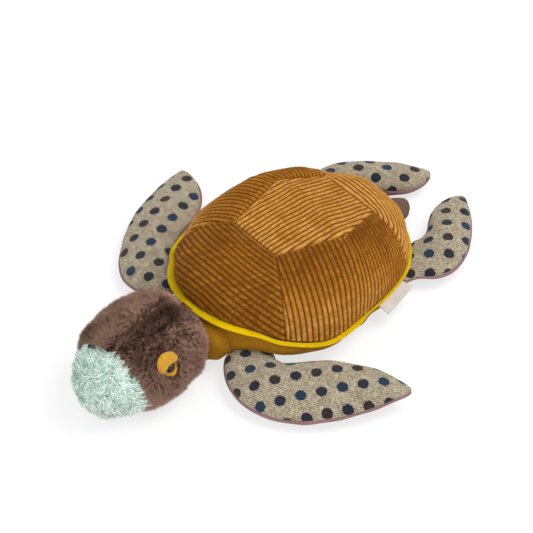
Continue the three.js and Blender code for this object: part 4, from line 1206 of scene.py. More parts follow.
class TurtleSizes(bpy.types.PropertyGroup):
    """The sizes that the pieces are worked out from."""

    shell_width: sized("Shell width", "Across the rim seam", 156)
    shell_length: sized("Shell length", "Along the rim seam", 188)
    rim_height: sized("Rim height", "Of the rim seam at the sides", 19)
    front_rim_rise: sized("Front rim rise", "How much higher the rim is over the neck", 22)
    top_front_width: sized("Top panel front width", "Its front edge", 46.6)
    top_middle_width: sized("Top panel middle width", "Between its middle corners", 79)
    top_rear_width: sized("Top panel rear width", "Its rear edge", 52.6)
    top_front_reach: sized("Top panel front reach", "From the middle to its front edge", 34.5)
    top_rear_reach: sized("Top panel rear reach", "From the middle to its rear edge", 57.2)
    top_height: sized("Top panel height", "Of its front and middle corners", 68)
    top_rear_drop: sized("Top panel rear drop", "How much lower its rear edge is", 8)
    top_rise: sized("Top panel rise", "How far its middle stands up", 1.6)
    panel_puff: sized("Panel puff", "How far a panel swells between its seams", 5)
    floor_contact_depth: sized("Floor contact depth", "How far the belly is pressed flat", 0.5)
    floor_gap: sized("Floor gap", "Under a flipper that lies down", 0.55)
    wale_pitch: sized("Wale pitch", "From one corduroy rib to the next", 4)
    piping_width: sized("Piping width", "How far the folded tape stands out", 4.3)
    piping_front_width: sized("Piping front width", "The same over the neck", 5.4)
    piping_rear_width: sized("Piping rear width", "The same behind the middle", 2.3)
    piping_thickness: sized("Piping thickness", "Of the folded tape", 1.3)
    label_length: sized("Label length", "Along the rim", 31)
    label_width: sized("Label width", "From the seam to its fold", 10.5)
    label_thickness: sized("Label thickness", "Of the folded tape", 0.9)
    front_flipper_span: sized("Front flipper span", "From its root to its tip", 120)
    front_flipper_thickness: sized("Front flipper thickness", "At its thickest", 23)
    rear_flipper_span: sized("Rear flipper span", "From its root to its tip", 89)
    rear_flipper_thickness: sized("Rear flipper thickness", "At its thickest", 21)
    tail_span: sized("Tail span", "From its root to its tip", 34)
    tail_thickness: sized("Tail thickness", "At its root", 14)
    root_depth: sized("Root depth", "How far a limb's root seam lies in the belly", 0.2)
    spot_pitch: sized("Spot pitch", "From one spot to the next in a row", 14.9)
    spot_row_pitch: sized("Spot row pitch", "From one row of spots to the next", 16.7)
    spot_width: sized("Spot width", "Across a spot", 8.2)
    neck_width: sized("Neck width", "At the body", 68)
    neck_shift: sized("Neck shift", "How far its cloth hangs to the left", 4.5)
    neck_height: sized("Neck height", "At the body", 37)
    neck_head_width: sized("Neck ball width", "In the head", 56)
    neck_head_height: sized("Neck ball height", "In the head", 31)
    neck_slack: sized("Neck slack", "How far the neck's cloth hangs loose", 1.5)
    neck_axis_reach: sized("Neck axis reach", "From the middle to the nodding axis", 89)
    head_axis_reach: sized("Head axis reach", "From the middle to the turning axis", 101)
    head_back_reach: sized("Head back reach", "From the turning axis to the head's back", 4)
    head_length: sized("Head length", "From its back to the nose", 92)
    head_width: sized("Head width", "Under the fur", 79)
    head_height: sized("Head height", "Under the fur", 58)
    head_floor_gap: sized("Head floor gap", "Under the throat", 0.5)
    muzzle_start: sized("Muzzle start", "From the turning axis to the mint fur", 71)
    muzzle_slant: sized("Muzzle slant", "How far the mint fur's edge leans", 4)
    eye_reach: sized("Eye reach", "From the turning axis to the eye", 51)
    bead_radius: sized("Bead radius", "Of the eye's bead", 3.5)
    felt_radius: sized("Felt radius", "Of the felt round the bead", 7.2)
    felt_thickness: sized("Felt thickness", "Of the felt round the bead", 1.3)
    eyelid_radius: sized("Eyelid radius", "Half the padded roll's width", 5)
    eyelid_bow: sized("Eyelid bow", "From the bead to the middle of the roll", 6.8)
    eye_sink: sized("Eye sink", "How far the left eye sits in the fur", 1.4)
    far_eye_sink: sized("Right eye sink", "How far the right eye sits in the fur", 4.2)
    brown_pile: sized("Brown pile", "Length of the head's fur", 5.4)
    mint_pile: sized("Mint pile", "Length of the muzzle's fur", 9.5)
    crease_depth: sized("Crease depth", "Of the fold at the crown seam", 6.5)
    crest_height: sized("Crest height", "How far the fur swells on the fold's right", 1.8)
    head_swell: sized("Head swell", "How far its right side is stuffed out", 3.2)
    brow_lip: sized("Brow lip", "How far the brown fur's edge stands over the mint", 0.8)
    muzzle_sink: sized("Muzzle sink", "How far the mint skin lies under the brown", 2.2)
    head_turn: angled("Head turn", "To the turtle's left", 9)
    left_eye_rise: angled("Left eye rise", "Above the head's side", 27)
    right_eye_rise: angled("Right eye rise", "Above the head's side", 13)


class TurtleColours(bpy.types.PropertyGroup):
    """The colours of the cloths."""

    corduroy: coloured("Corduroy", "The pile halfway between dark and light", 165, 108, 32)
    # Painted shade and painted light of the pile: how it shows where light falls and as it is brushed
    corduroy_shaded: coloured("Dark corduroy", "The pile brushed towards the eye", 115, 66, 6)
    corduroy_lit: coloured("Light corduroy", "The pile brushed away from the eye", 212, 155, 80)
    # The ground between the ribs, darkened with painted shade in the groove
    corduroy_groove: coloured("Corduroy groove", "Between light ribs", 92, 48, 0)
    velour: coloured("Velour", "Belly and neck", 158, 109, 20)
    piping: coloured("Piping", "The rim's tape", 255, 212, 0)
    brown_fur: coloured("Brown fur", "Tips of the head's fur", 192, 154, 134)
    # The roots' colour is painted shade between the hairs, also used for the darkest hairs and the
    # backing
    brown_fur_root_shade: coloured("Brown fur root", "Roots of the head's fur", 76, 54, 42)
    mint_fur: coloured("Mint fur", "Tips of the muzzle's fur", 242, 255, 247)
    # The roots' colour is painted shade between the locks
    mint_fur_root_shade: coloured("Mint fur root", "Roots of the muzzle's fur", 140, 206, 178)
    knit: coloured("Knit", "The flippers' ground yarn", 233, 220, 192)
    # Painted shade between the stitches, also used for the yarn's darker flecks and haze
    knit_shade_and_flecks: coloured("Dark knit", "Between the stitches", 107, 92, 67)
    spot_brown: coloured("Brown spot", "Yarn of a spot", 66, 54, 50)
    spot_navy: coloured("Navy spot", "Yarn of a spot", 38, 46, 60)
    spot_teal: coloured("Teal spot", "Yarn of a spot", 38, 72, 98)
    spot_slate: coloured("Slate spot", "Yarn of a spot", 48, 56, 68)
    underside: coloured("Underside", "The flippers' velour", 146, 112, 112)
    tail: coloured("Tail", "The tail's velour", 112, 87, 74)
    felt: coloured("Felt", "Round the eyes", 218, 158, 42)
    bead: coloured("Bead", "The eyes", 12, 12, 13)
    plastic: coloured("Plastic", "The eyes' washers", 225, 225, 222)
    plastic_dark: coloured("Dark plastic", "Clouds in the washers", 200, 200, 198)
    fibre: coloured("Fibre", "The stuffing", 244, 243, 238)
    # Painted shade between the stuffing's strands
    fibre_shade: coloured("Dark fibre", "Between the stuffing's strands", 214, 212, 205)
    label: coloured("Label", "The bare side label", 222, 212, 203)
    floor: coloured("Floor", "Floor and backdrop", 252, 252, 252)


# Operators

class TURTLE_OT_shell(bpy.types.Operator):
    """Makes the shell's five corduroy panels"""

    bl_idname = "turtle.shell"
    bl_label = "Shell Panels"

    def execute(self, context):
        top_panel()
        end_panel("shell_front_corduroy", -FRONT_SEAM, FRONT_SEAM, PILE_LIGHT_FRONT, 21,
                  "shell_front_panel")
        end_panel("shell_rear_corduroy", REAR_SEAM, RIM_STATIONS - REAR_SEAM, PILE_LIGHT_REAR, 31,
                  "shell_rear_panel")
        side_panel("shell_left_corduroy", 1, 41, "shell_left_panel")
        side_panel("shell_right_corduroy", -1, 51, "shell_right_panel")
        return {"FINISHED"}


class TURTLE_OT_piping(bpy.types.Operator):
    """Makes the folded yellow tape in the rim seam: wide over the neck, narrow behind the middle
    and tucked in near the label. Its end lies over its start at the front, cut slantwise"""

    bl_idname = "turtle.piping"
    bl_label = "Rim Piping"

    def execute(self, context):
        own = sizes()
        around, share = across_and_along(25, RIM_STATIONS * 24)
        turn = 2 * np.pi * around
        overlap = PIPING_OVERLAP + PIPING_SLANT * np.cos(turn)
        station = share * (RIM_STATIONS + overlap)
        rim = rim_at(station)
        out = facing_at(station, np.full_like(station, 2.0))
        from_front = np.minimum(station, np.abs(station - RIM_STATIONS))
        narrowing = ease((from_front - PIPING_WIDE_UNTIL) / 0.6)
        width = lerp(own.piping_front_width, own.piping_width, narrowing)
        width = lerp(width, own.piping_rear_width, ease((from_front - PIPING_NARROW_FROM) / 0.5))
        width *= 1 - PIPING_TUCK_SHARE * bell(station - PIPING_TUCK_STATION, 0.4, 4)
        width *= 1 + PIPING_UNEVEN_SHARE * ripple(rim, PIPING_UNEVEN_REACH, 62)
        outer = 0.5 + 0.5 * signed_power(np.cos(turn), PIPING_EDGE_POWER)
        fold = lerp(PIPING_SEAM_SHARE, 1, ease(outer))
        up = own.piping_thickness / 2 * fold * signed_power(np.sin(turn), PIPING_FACE_POWER)
        wave = PIPING_WAVE * ripple(rim, PIPING_WAVE_REACH, 61)
        at_end = ease((station - RIM_STATIONS + 0.15) / 0.12)
        lifted = own.piping_thickness * PIPING_LIFT_SHARE * at_end
        reach = width * outer
        points = rim + out * reach[..., None]
        points[..., 2] += up + wave - PIPING_DROOP_SHARE * reach + lifted * (reach / own.piping_width)
        uv = np.stack([runs(points, 0), runs(points, 1)], axis=-1)
        piece = put_round("rim_tape", gather_ends(np.concatenate([points[:1], points, points[-1:]])),
                          np.concatenate([uv[:1], uv, uv[-1:]]))
        finish_piece(piece, "yellow_tape", "torso", ["rim_piping"])
        return {"FINISHED"}


class TURTLE_OT_label(bpy.types.Operator):
    """Makes the bare folded label in the rim seam"""

    bl_idname = "turtle.label"
    bl_label = "Side Label"

    def execute(self, context):
        own = sizes()
        slope = math.radians(LABEL_SLOPE)
        per_length = 2 / np.linalg.norm(rim_at(LABEL_STATION + 1) - rim_at(LABEL_STATION - 1))
        share, out_share = across_and_along(48, 20)
        station = LABEL_STATION + (share - 0.5) * own.label_length * per_length
        outward = facing_at(station, np.full_like(station, 2.0))
        reach = out_share * own.label_width
        start = 0.3 * MM
        points = rim_at(station) + outward * (start + reach * math.cos(slope))[..., None]
        curl = LABEL_CURL * np.sin(np.pi * share) * out_share
        points[..., 2] += curl - own.piping_thickness / 2 - start - reach * math.sin(slope)
        normals = grid_normals(points, np.broadcast_to(UP, points.shape))
        uv = np.stack([share * own.label_length, reach], axis=-1)
        piece = put_layer("bare_label", points, normals, uv, own.label_thickness)
        finish_piece(piece, "label_tape", "torso", ["side_label"])
        return {"FINISHED"}


class TURTLE_OT_belly(bpy.types.Operator):
    """Makes the velour belly"""

    bl_idname = "turtle.belly"
    bl_label = "Belly"

    def execute(self, context):
        around, down = across_and_along(361, 80)
        station, level = around * RIM_STATIONS, 2 + down
        base = body_at(station, level)
        facing = facing_at(station, level)
        near, height = runs(base, 0), base[..., 2]
        wrinkles = WRINKLE_DEPTH * ripple(base, WRINKLE_REACH, 71) * ease(near / (5 * MM))
        swell = wrinkles * ease(height / (6 * MM)) - BELLY_SEAM_DEPTH * bell(near, BELLY_SEAM_ROLL)
        swell += SHOULDER_SWELL * patch(station, height, SHOULDER_AT, SHOULDER_REACH)
        for limb in limbs():
            swell += self.beside(limb, base)
        points = base + facing * swell[..., None]
        points[..., 2] = np.maximum(points[..., 2], 0)
        piece = put_layer("belly_velour", points, facing, weld=True)
        finish_piece(piece, "mustard_velour", "torso", ["belly_cover"])
        return {"FINISHED"}

    def beside(self, limb, base):
        """The belly is drawn in by a limb's root seam, and bulges over a root that hangs low."""
        root, _, along, _ = limb_frame(limb)
        root = root - UP * limb.hang
        mirrored = base * np.array((limb.side, 1, 1))
        half = (limb.trail[0, 1] - limb.lead[0, 1]) * limb.span / 2
        beyond = np.clip(np.abs((mirrored - root) @ along) - half, 0, None)
        above = mirrored[..., 2] - root[2]
        drawn = limb.root * ROOT_DRAW_SHARE
        drawn = drawn * bell(np.hypot(beyond, above), limb.root * ROOT_REACH_SHARE)
        over = limb.root * ROOT_BULGE_PLACE_SHARE
        bulge = limb.hang * ROOT_BULGE_SHARE * bell(beyond, ROOT_BULGE_REACH)
        bulge = bulge * bell(above - over, over)
        same_side = np.linalg.norm(mirrored - root, axis=-1) < half * 5
        return same_side * (bulge - drawn)


def neck_form(growth, seed=None):
    """The neck, grown all round by a distance and with soft lumps if there is a seed: at each
    place along it the section is an ellipse whose half width and height are the high-power mean of
    a barrel's at the body and of a flatter ball's in the head."""
    own = sizes()
    centre = own.floor_gap + own.neck_height / 2
    barrel = (own.neck_axis_reach, own.neck_height / 2, own.neck_width / 2, own.neck_height / 2)
    ball = (own.head_axis_reach, own.neck_head_width / 2, own.neck_head_width / 2,
            own.neck_head_height / 2)
    growth = growth - own.neck_slack
    near_end = barrel[0] - barrel[1] - growth
    far_end = ball[0] + ball[1] + growth
    around, share = across_and_along(97, 80)
    reach = lerp(near_end, far_end, (1 - np.cos(np.pi * share)) / 2)
    turn = 2 * np.pi * around
    half = []
    for axis in (2, 3):
        parts = [
            (form[axis] + growth)
            * np.clip(1 - np.abs((reach - form[0]) / (form[1] + growth)) ** power, 0, None)
            ** (1 / power)
            for form, power in ((barrel, 4), (ball, 2))
        ]
        half.append((parts[0] ** 6 + parts[1] ** 6) ** (1 / 6))
    shift = own.neck_shift * bell(reach - barrel[0], 16 * MM)
    points = np.stack([half[0] * np.sin(turn) + shift, -reach, centre + half[1] * np.cos(turn)],
                      axis=-1)
    if seed is not None:
        out = unit(points - np.array((0, -(own.neck_axis_reach + own.head_axis_reach) / 2, centre)))
        points = points + out * (0.5 * MM * ripple(points, 13 * MM, seed))[..., None]
    return points


class TURTLE_OT_neck(bpy.types.Operator):
    """Makes the velour neck"""

    bl_idname = "turtle.neck"
    bl_label = "Neck"

    def execute(self, context):
        piece = put_round("neck_velour", neck_form(0, 81))
        finish_piece(piece, "mustard_velour", "neck", ["neck_cover"])
        return {"FINISHED"}


def crown_seam_at(y):
    """The crown seam's place across the head, which sways on its way to the nose."""
    return CROWN_SEAM_SWAY * np.sin(y / CROWN_SEAM_REACH)


def head_skin(from_turn, to_turn, seed):
    """A panel of the head under its fur, with soft lumps. The crown seam is a fold that fades at
    both its ends, with a crest on its right, and the head's right side is stuffed fuller. Gives
    the panel's points and its normals."""
    own = sizes()
    across, share = across_and_along(90, 90)
    around = lerp(math.radians(from_turn), math.radians(to_turn), across)
    along = share * muzzle_turn(around)
    base = head_at(along, around)
    outward = base - np.array((0, -own.head_length / 2, own.head_height / 2))
    on_top = np.cos(around) > 0
    behind = np.clip(1 - along / 1.5, 0, 1)
    swell = HEAD_LUMP_DEPTH * ripple(base, HEAD_LUMP_REACH, seed)
    swell += own.head_swell * ease(-base[..., 0] / (30 * MM) + 0.5) * (0.1 + 1.4 * behind ** 2)
    swell += own.brow_lip * ease((share - BROW_START_SHARE) / BROW_RISE_SHARE)
    crest = bell(base[..., 0] - CREST_PLACE, CREST_WIDTH) * on_top
    swell += own.crest_height * crest * ease(along / 0.6)
    crease = bell(base[..., 0] - crown_seam_at(base[..., 1]), CREASE_WIDTH) * on_top
    swell -= own.crease_depth * crease * ease(along / 0.5) * ease((2.2 - along) / 0.4)
    points = base + grid_normals(base, outward) * swell[..., None]
    return points, grid_normals(points, outward)


def at_muzzle_edge(roots, side):
    """One on the seam between the two furs, fading over a few millimetres: behind it for side 1,
    and ahead of it for side -1."""
    own = sizes()
    rise = roots[:, 2] / (own.head_height / 2) - 1
    behind = own.muzzle_start + own.muzzle_slant * rise + roots[:, 1]
    return np.exp(-np.clip(side * behind, 0, None) / MUZZLE_EDGE_REACH)[:, None]


def clear_of_eyes(roots, reach):
    """True for the roots that lie further than a reach from both eyes."""
    clear = np.ones(len(roots), bool)
    for side in (1, -1):
        place = eye_frame(side)[0]
        clear &= np.linalg.norm(roots - place, axis=-1) > reach
    return clear


class TURTLE_OT_head(bpy.types.Operator):
    """Makes the head's brown fur: two side panels, the throat panel and their hairs"""

    bl_idname = "turtle.head"
    bl_label = "Head Fur"

    def execute(self, context):
        panels = (
            ("left", 0, THROAT_TURN, 1.0, 101),
            ("right", -THROAT_TURN, 0, 1.0, 111),
            ("throat", THROAT_TURN, 360 - THROAT_TURN, THROAT_HAIR_SHARE, 121),
        )
        for name, from_turn, to_turn, share, seed in panels:
            points, normals = head_skin(from_turn, to_turn, seed)
            skin = put_layer(f"head_{name}_backing", placed_head(points), turned_head(normals),
                             weld=True)
            finish_piece(skin, "brown_backing", "head", [f"head_{name}_panel"])
            random = np.random.default_rng(seed)
            for layer, count, length_share, width, darkness in (UNDERCOAT, TOPCOAT):
                self.coat(f"head_{name}_{layer}", points, normals, fewer(int(count * share)),
                          sizes().brown_pile * length_share, width, darkness, random, seed)
        return {"FINISHED"}

    def coat(self, name, points, normals, count, length, width, darkness, random, seed):
        """One coat of hairs. They lie down towards the nose and the cheeks and swirl, each tuft
        its own way, and at the muzzle they lie straight ahead."""
        own = sizes()
        roots, ways = scatter(points, normals, count, random)
        aside = np.abs(roots[:, 0])
        crown = roots[:, 2] > own.head_height * CROWN_SHARE
        in_seam = crown * bell(roots[:, 0] - crown_seam_at(roots[:, 1]), CREASE_HAIR_WIDTH)
        at_edge = at_muzzle_edge(roots, 1)
        tufts = tufts_of(roots, BROWN_TUFT, seed + 9)
        turns = random.normal(size=(tufts.max() + 1, 3)) * BROWN_TUFT_TURN
        shades = darkness + self.shades(roots, tufts, crown, in_seam, random, seed)
        parted = PARTED_SHARE * np.exp(-aside / PARTED_REACH) * crown
        down = np.stack([np.sign(roots[:, 0]) * (0.6 + parted), np.full(len(roots), -0.55),
                         np.full(len(roots), -0.35)], axis=-1)
        combs = down + wander(roots, BROWN_SWIRL_REACH, seed + 3) * BROWN_SWIRL + turns[tufts]
        combs = laid_flat(lerp(combs, down + np.array((0, -0.6, 0)), at_edge), ways)
        lengths = length * random.uniform(SHORTEST_SHARE, LONGEST_SHARE, len(roots))
        lengths *= (1 - SHORTER_IN_SEAM * in_seam) * (1 - SHORTER_AT_EDGE * at_edge[:, 0])
        roots, ways, combs = placed_head(roots), turned_head(ways), turned_head(combs)
        clear = clear_of_eyes(roots, own.felt_radius - 1.2 * MM)
        lean = np.clip(random.normal(*BROWN_LEAN, (len(roots), 1)), 0.15, 0.92)
        pile = Pile(width, rings=1, gather=0.3, curl=0, bluntness=2.2)
        hairs = put_hairs(name, pile, (roots - ways * (0.3 * MM))[clear], ways[clear], combs[clear],
                          lengths[clear], lean[clear], tufts[clear], shades[clear], random)
        finish_piece(hairs, "brown_pile", "head")

    def shades(self, roots, tufts, crown, in_seam, random, seed):
        """How dark each hair is: a little by chance, by its tuft and in patches. Painted shade makes it
        near black in the crown seam and dark on the seam's left side. On the right side painted light
        makes the fur light beside the seam, and painted shade makes it darker further out."""
        x, y = roots[:, 0], roots[:, 1]
        shades = DARK_CHANCE * random.random(len(roots))
        shades += DARK_TUFT * random.normal(size=tufts.max() + 1)[tufts]
        shades += DARK_PATCH * ripple(roots, DARK_PATCH_REACH, seed + 7)
        shades += DARK_SEAM * in_seam ** 2
        beside = (x > 0) * crown * (y > -sizes().head_length * 0.75)
        shades += DARK_BESIDE * beside * bell(x - DARK_BESIDE_PLACE, DARK_BESIDE_WIDTH)
        shades += DARK_RIGHT * (x < 0) * (1 - SEAM_LIGHT_SHARE * bell(x, SEAM_LIGHT_WIDTH))
        return shades


class TURTLE_OT_muzzle(bpy.types.Operator):
    """Makes the muzzle's long mint fur"""

    bl_idname = "turtle.muzzle"
    bl_label = "Muzzle Fur"

    def execute(self, context):
        own = sizes()
        around, share = across_and_along(121, 70)
        around = around * 2 * np.pi
        edge = muzzle_turn(around)
        along = lerp(edge - 0.05, np.pi, share)
        base = head_at(along, around)
        outward = base - np.array((0, -own.head_length * 0.6, own.head_height / 2))
        sunk = own.muzzle_sink * (1 - 1.25 * ease((along - edge) / 0.2))
        swell = MUZZLE_LUMP_DEPTH * ripple(base, MUZZLE_LUMP_REACH, 131) - sunk
        normals = grid_normals(base, outward)
        points = base + normals * swell[..., None]
        points[:, -1] = points[:, 0]
        skin = put_layer("muzzle_backing", placed_head(points), turned_head(normals), weld=True)
        finish_piece(skin, "mint_backing", "head", ["muzzle_cover"])
        for name, seed in (("muzzle_inner_locks", 132), ("muzzle_outer_locks", 162)):
            self.locks(name, points, normals, seed)
        return {"FINISHED"}

    def locks(self, name, points, normals, seed):
        """Curly locks that lie nearly flat, each tuft its own way, with painted light that makes them
        paler lower down. At the brown fur they lie straight ahead."""
        own = sizes()
        random = np.random.default_rng(seed)
        roots, ways = scatter(points, normals, fewer(LOCK_COUNT), random)
        tufts = tufts_of(roots, MINT_TUFT, seed + 9)
        turns = random.normal(size=(tufts.max() + 1, 3)) * MINT_TUFT_TURN
        # Random tone, and painted light that makes the locks paler lower down, where less light falls
        low = ease(1.1 - roots[:, 2] / (0.55 * own.head_height))
        shades = 0.8 * random.random(len(roots)) - 0.15 - 0.6 * low
        at_edge = at_muzzle_edge(roots, -1)
        combs = wander(roots, MINT_SWIRL_REACH, seed + 3) * MINT_SWIRL + turns[tufts]
        combs = laid_flat(combs * (1 - 0.8 * at_edge) + at_edge * np.array((0, -2.0, 0)), ways)
        lengths = own.mint_pile * random.uniform(SHORTEST_SHARE, LONGEST_SHARE, len(roots))
        lean = np.clip(random.normal(*MINT_LEAN, (len(roots), 1)), 0.8, 0.98)
        pile = Pile(LOCK_WIDTH, rings=5, gather=0.12, curl=0.16, bluntness=7)
        hairs = put_hairs(name, pile, placed_head(roots) - turned_head(ways) * (0.4 * MM),
                          turned_head(ways), turned_head(combs), lengths, lean, tufts, shades, random)
        finish_piece(hairs, "mint_pile", "head")


def turned_form(profile, sides=49):
    """A form turned about its own out axis, from rows of radius and height."""
    around, _ = across_and_along(sides, len(profile))
    turn = 2 * np.pi * around
    radius, height = np.array(profile)[:, 0:1], np.array(profile)[:, 1:2]
    return np.stack([radius * np.cos(turn), radius * np.sin(turn),
                     np.broadcast_to(height, turn.shape)], axis=-1)


class TURTLE_OT_eyes(bpy.types.Operator):
    """Makes the beads, the felt rings and the padded lids, and gives the washers their plastic"""

    bl_idname = "turtle.eyes"
    bl_label = "Eyes"

    def execute(self, context):
        for side, name in ((1, "left"), (-1, "right")):
            self.bead(side, name)
            self.felt(side, name)
            self.lid(side, name)
            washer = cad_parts[f"{name}_eye_washer"]
            washer.data.materials.clear()
            washer.data.materials.append(finish_for("clear_plastic"))
        return {"FINISHED"}

    def bead(self, side, name):
        """A ball on a thin shank."""
        own = sizes()
        turns = np.linspace(-0.35 * np.pi, np.pi / 2, 24)[:-1]
        profile = [(0, -SHANK_LENGTH), (SHANK_RADIUS, -SHANK_LENGTH),
                   (SHANK_RADIUS, own.felt_thickness * 0.5)]
        profile += [(own.bead_radius * math.cos(turn),
                     own.felt_thickness + own.bead_radius * math.sin(turn)) for turn in turns]
        profile += [(0, own.felt_thickness + own.bead_radius)]
        piece = put_round(f"{name}_bead", from_eye(side, turned_form(profile)))
        finish_piece(piece, "black_bead", "head", [f"{name}_eye_bead"])

    def felt(self, side, name):
        """A felt ring, raised in a soft roll round the bead."""
        own = sizes()
        turns = np.linspace(0, np.pi, 21)
        inner, outer = own.bead_radius - 0.3 * MM, own.felt_radius
        middle, half = (inner + outer) / 2, (outer - inner) / 2
        profile = [(middle + half * math.cos(turn),
                    0.3 * MM + own.felt_thickness * 1.25 * math.sin(turn) ** 0.8)
                   for turn in turns]
        profile += [(inner, -0.4 * MM), (outer, -0.4 * MM), profile[0]]
        form = turned_form(profile, 73)
        lumps = 0.25 * MM * ripple(form, 6 * MM, 141)
        form[..., 2] += lumps * (form[..., 2] > 0)
        form[:, -1] = form[:, 0]
        piece = put_round(f"{name}_felt_ring", from_eye(side, form))
        finish_piece(piece, "mustard_felt", "head", [f"{name}_eye_felt"])

    def lid(self, side, name):
        """A fat roll of felt, bowed over the bead in an arc, thick in its middle."""
        own = sizes()
        around, share = across_and_along(41, 61)
        turn = np.radians(LID_START_TURN - LID_SPAN_TURN * share)
        radius = own.eyelid_radius * np.clip(np.sin(np.pi * share), 0, None) ** LID_END_POWER
        circle = 2 * np.pi * around
        base = 0.3 * MM + own.felt_thickness

        def bowed(reach, height):
            return np.stack([reach * np.cos(turn), -reach * np.sin(turn), height], axis=-1)

        height = (own.eyelid_radius + radius * np.sin(circle)) * LID_FLATNESS_SHARE
        form = bowed(own.eyelid_bow + radius * np.cos(circle), base + height - 0.6 * MM)
        core_height = base + own.eyelid_radius * LID_FLATNESS_SHARE
        out = unit(form - bowed(own.eyelid_bow, np.full_like(turn, core_height)))
        form = gather_ends(form + out * (0.18 * MM * ripple(form, 5 * MM, 142))[..., None])
        piece = put_round(f"{name}_lid_roll", from_eye(side, form))
        finish_piece(piece, "mustard_felt", "head", [f"{name}_eyelid"])


def limbs():
    """The four flippers and the tail."""
    own = sizes()
    front = dict(span=own.front_flipper_span, root=11 * MM, thickness=own.front_flipper_thickness)
    rear = dict(span=own.rear_flipper_span, root=10 * MM, thickness=own.rear_flipper_thickness,
                lead=REAR_LEAD_SHARES, trail=REAR_TRAIL_SHARES, station=7.15, height=10.5 * MM,
                sag=3 * MM, sweep=3)
    return [
        Limb("left_front_flipper", 1, 1.85, 18 * MM, lead=FRONT_LEAD_SHARES,
             trail=FRONT_TRAIL_SHARES, hang=7 * MM, spots=(117, 46.4, -1.5), seed=201, **front),
        Limb("right_front_flipper", -1, 2.1, 16 * MM, lead=RIGHT_FRONT_LEAD_SHARES,
             trail=RIGHT_FRONT_TRAIL_SHARES, sag=3 * MM, sweep=13, spots=(-52, -16.1, 102.2),
             seed=202, **front),
        Limb("left_rear_flipper", 1, spots=(8, 29.8, 30.4), seed=203, **rear),
        Limb("right_rear_flipper", -1, spots=(35, 30.0, 33.0), seed=204, **rear),
        Limb("tail", 1, 9.2, 12 * MM, own.tail_span, own.tail_thickness,
             own.tail_thickness, TAIL_LEAD_SHARES, TAIL_LEAD_SHARES * (1, -1), seed=205),
    ]


class TURTLE_OT_limbs(bpy.types.Operator):
    """Makes the flippers' knitted tops and velour undersides, and the tail's two covers"""

    bl_idname = "turtle.limbs"
    bl_label = "Flippers and Tail"

    def execute(self, context):
        for limb in limbs():
            place = limb_frame(limb)
            seam, top, under = math.radians(LIMB_SEAM_TURN), "spotted_knit", "mauve_velour"
            if limb.name == "tail":
                seam, top, under = 0.0, "taupe_velour", "taupe_velour"
            limb_cover(limb, "top", place, seam, np.pi - seam, top, [f"{limb.name}_top_cover"])
            limb_cover(limb, "underside", place, np.pi - seam, 2 * np.pi + seam, under,
                       [f"{limb.name}_bottom_cover"], UNDERSIDE_STEP)
        return {"FINISHED"}


class TURTLE_OT_stuffing(bpy.types.Operator):
    """Makes the fibre stuffing inside the body, the neck, the head and the limbs"""

    bl_idname = "turtle.stuffing"
    bl_label = "Stuffing"

    def execute(self, context):
        own = sizes()
        around, share = across_and_along(81, 40)
        turn = 2 * np.pi * around
        body = body_at(around * RIM_STATIONS, lerp(1.0, 3.0, share), BODY_FIBRE_DEPTH)
        top = UP * (own.top_height - own.top_rear_drop - 7 * MM)
        body = np.concatenate([np.broadcast_to(top, (1, *body.shape[1:])), body])
        self.put("body", self.fluffed(body, (0, 0, own.rim_height), 151), "torso")
        neck = neck_form(-NECK_FIBRE_DEPTH)
        self.put("neck", self.fluffed(neck, (0, -own.neck_axis_reach, 15 * MM), 152), "neck")
        head = head_at(share * np.pi, turn, HEAD_FIBRE_DEPTH)
        middle = (0, -own.head_length / 2, own.head_height / 2)
        self.put("head", placed_head(self.fluffed(head, middle, 153)), "head")
        rows = np.where(share < 0.1, share * 10 - 1, np.sin((share - 0.1) / 0.9 * np.pi / 2))
        for limb in limbs():
            form = limb_at(limb, rows, turn, LIMB_FIBRE_DEPTH)
            self.put(limb.name, put_limb_in_place(limb, form, limb_frame(limb)), limb.name)
        return {"FINISHED"}

    def fluffed(self, points, middle, seed):
        """Tufts of fibre that swell and sink on a form's surface, inwards only."""
        outward = unit(points - np.array(middle))
        return points - outward * (0.4 * MM * (1 + ripple(points, 6 * MM, seed)))[..., None]

    def put(self, name, points, body):
        piece = put_round(f"{name}_fibre", gather_ends(points))
        finish_piece(piece, "stuffing_fibre", body, [f"{name}_stuffing"])


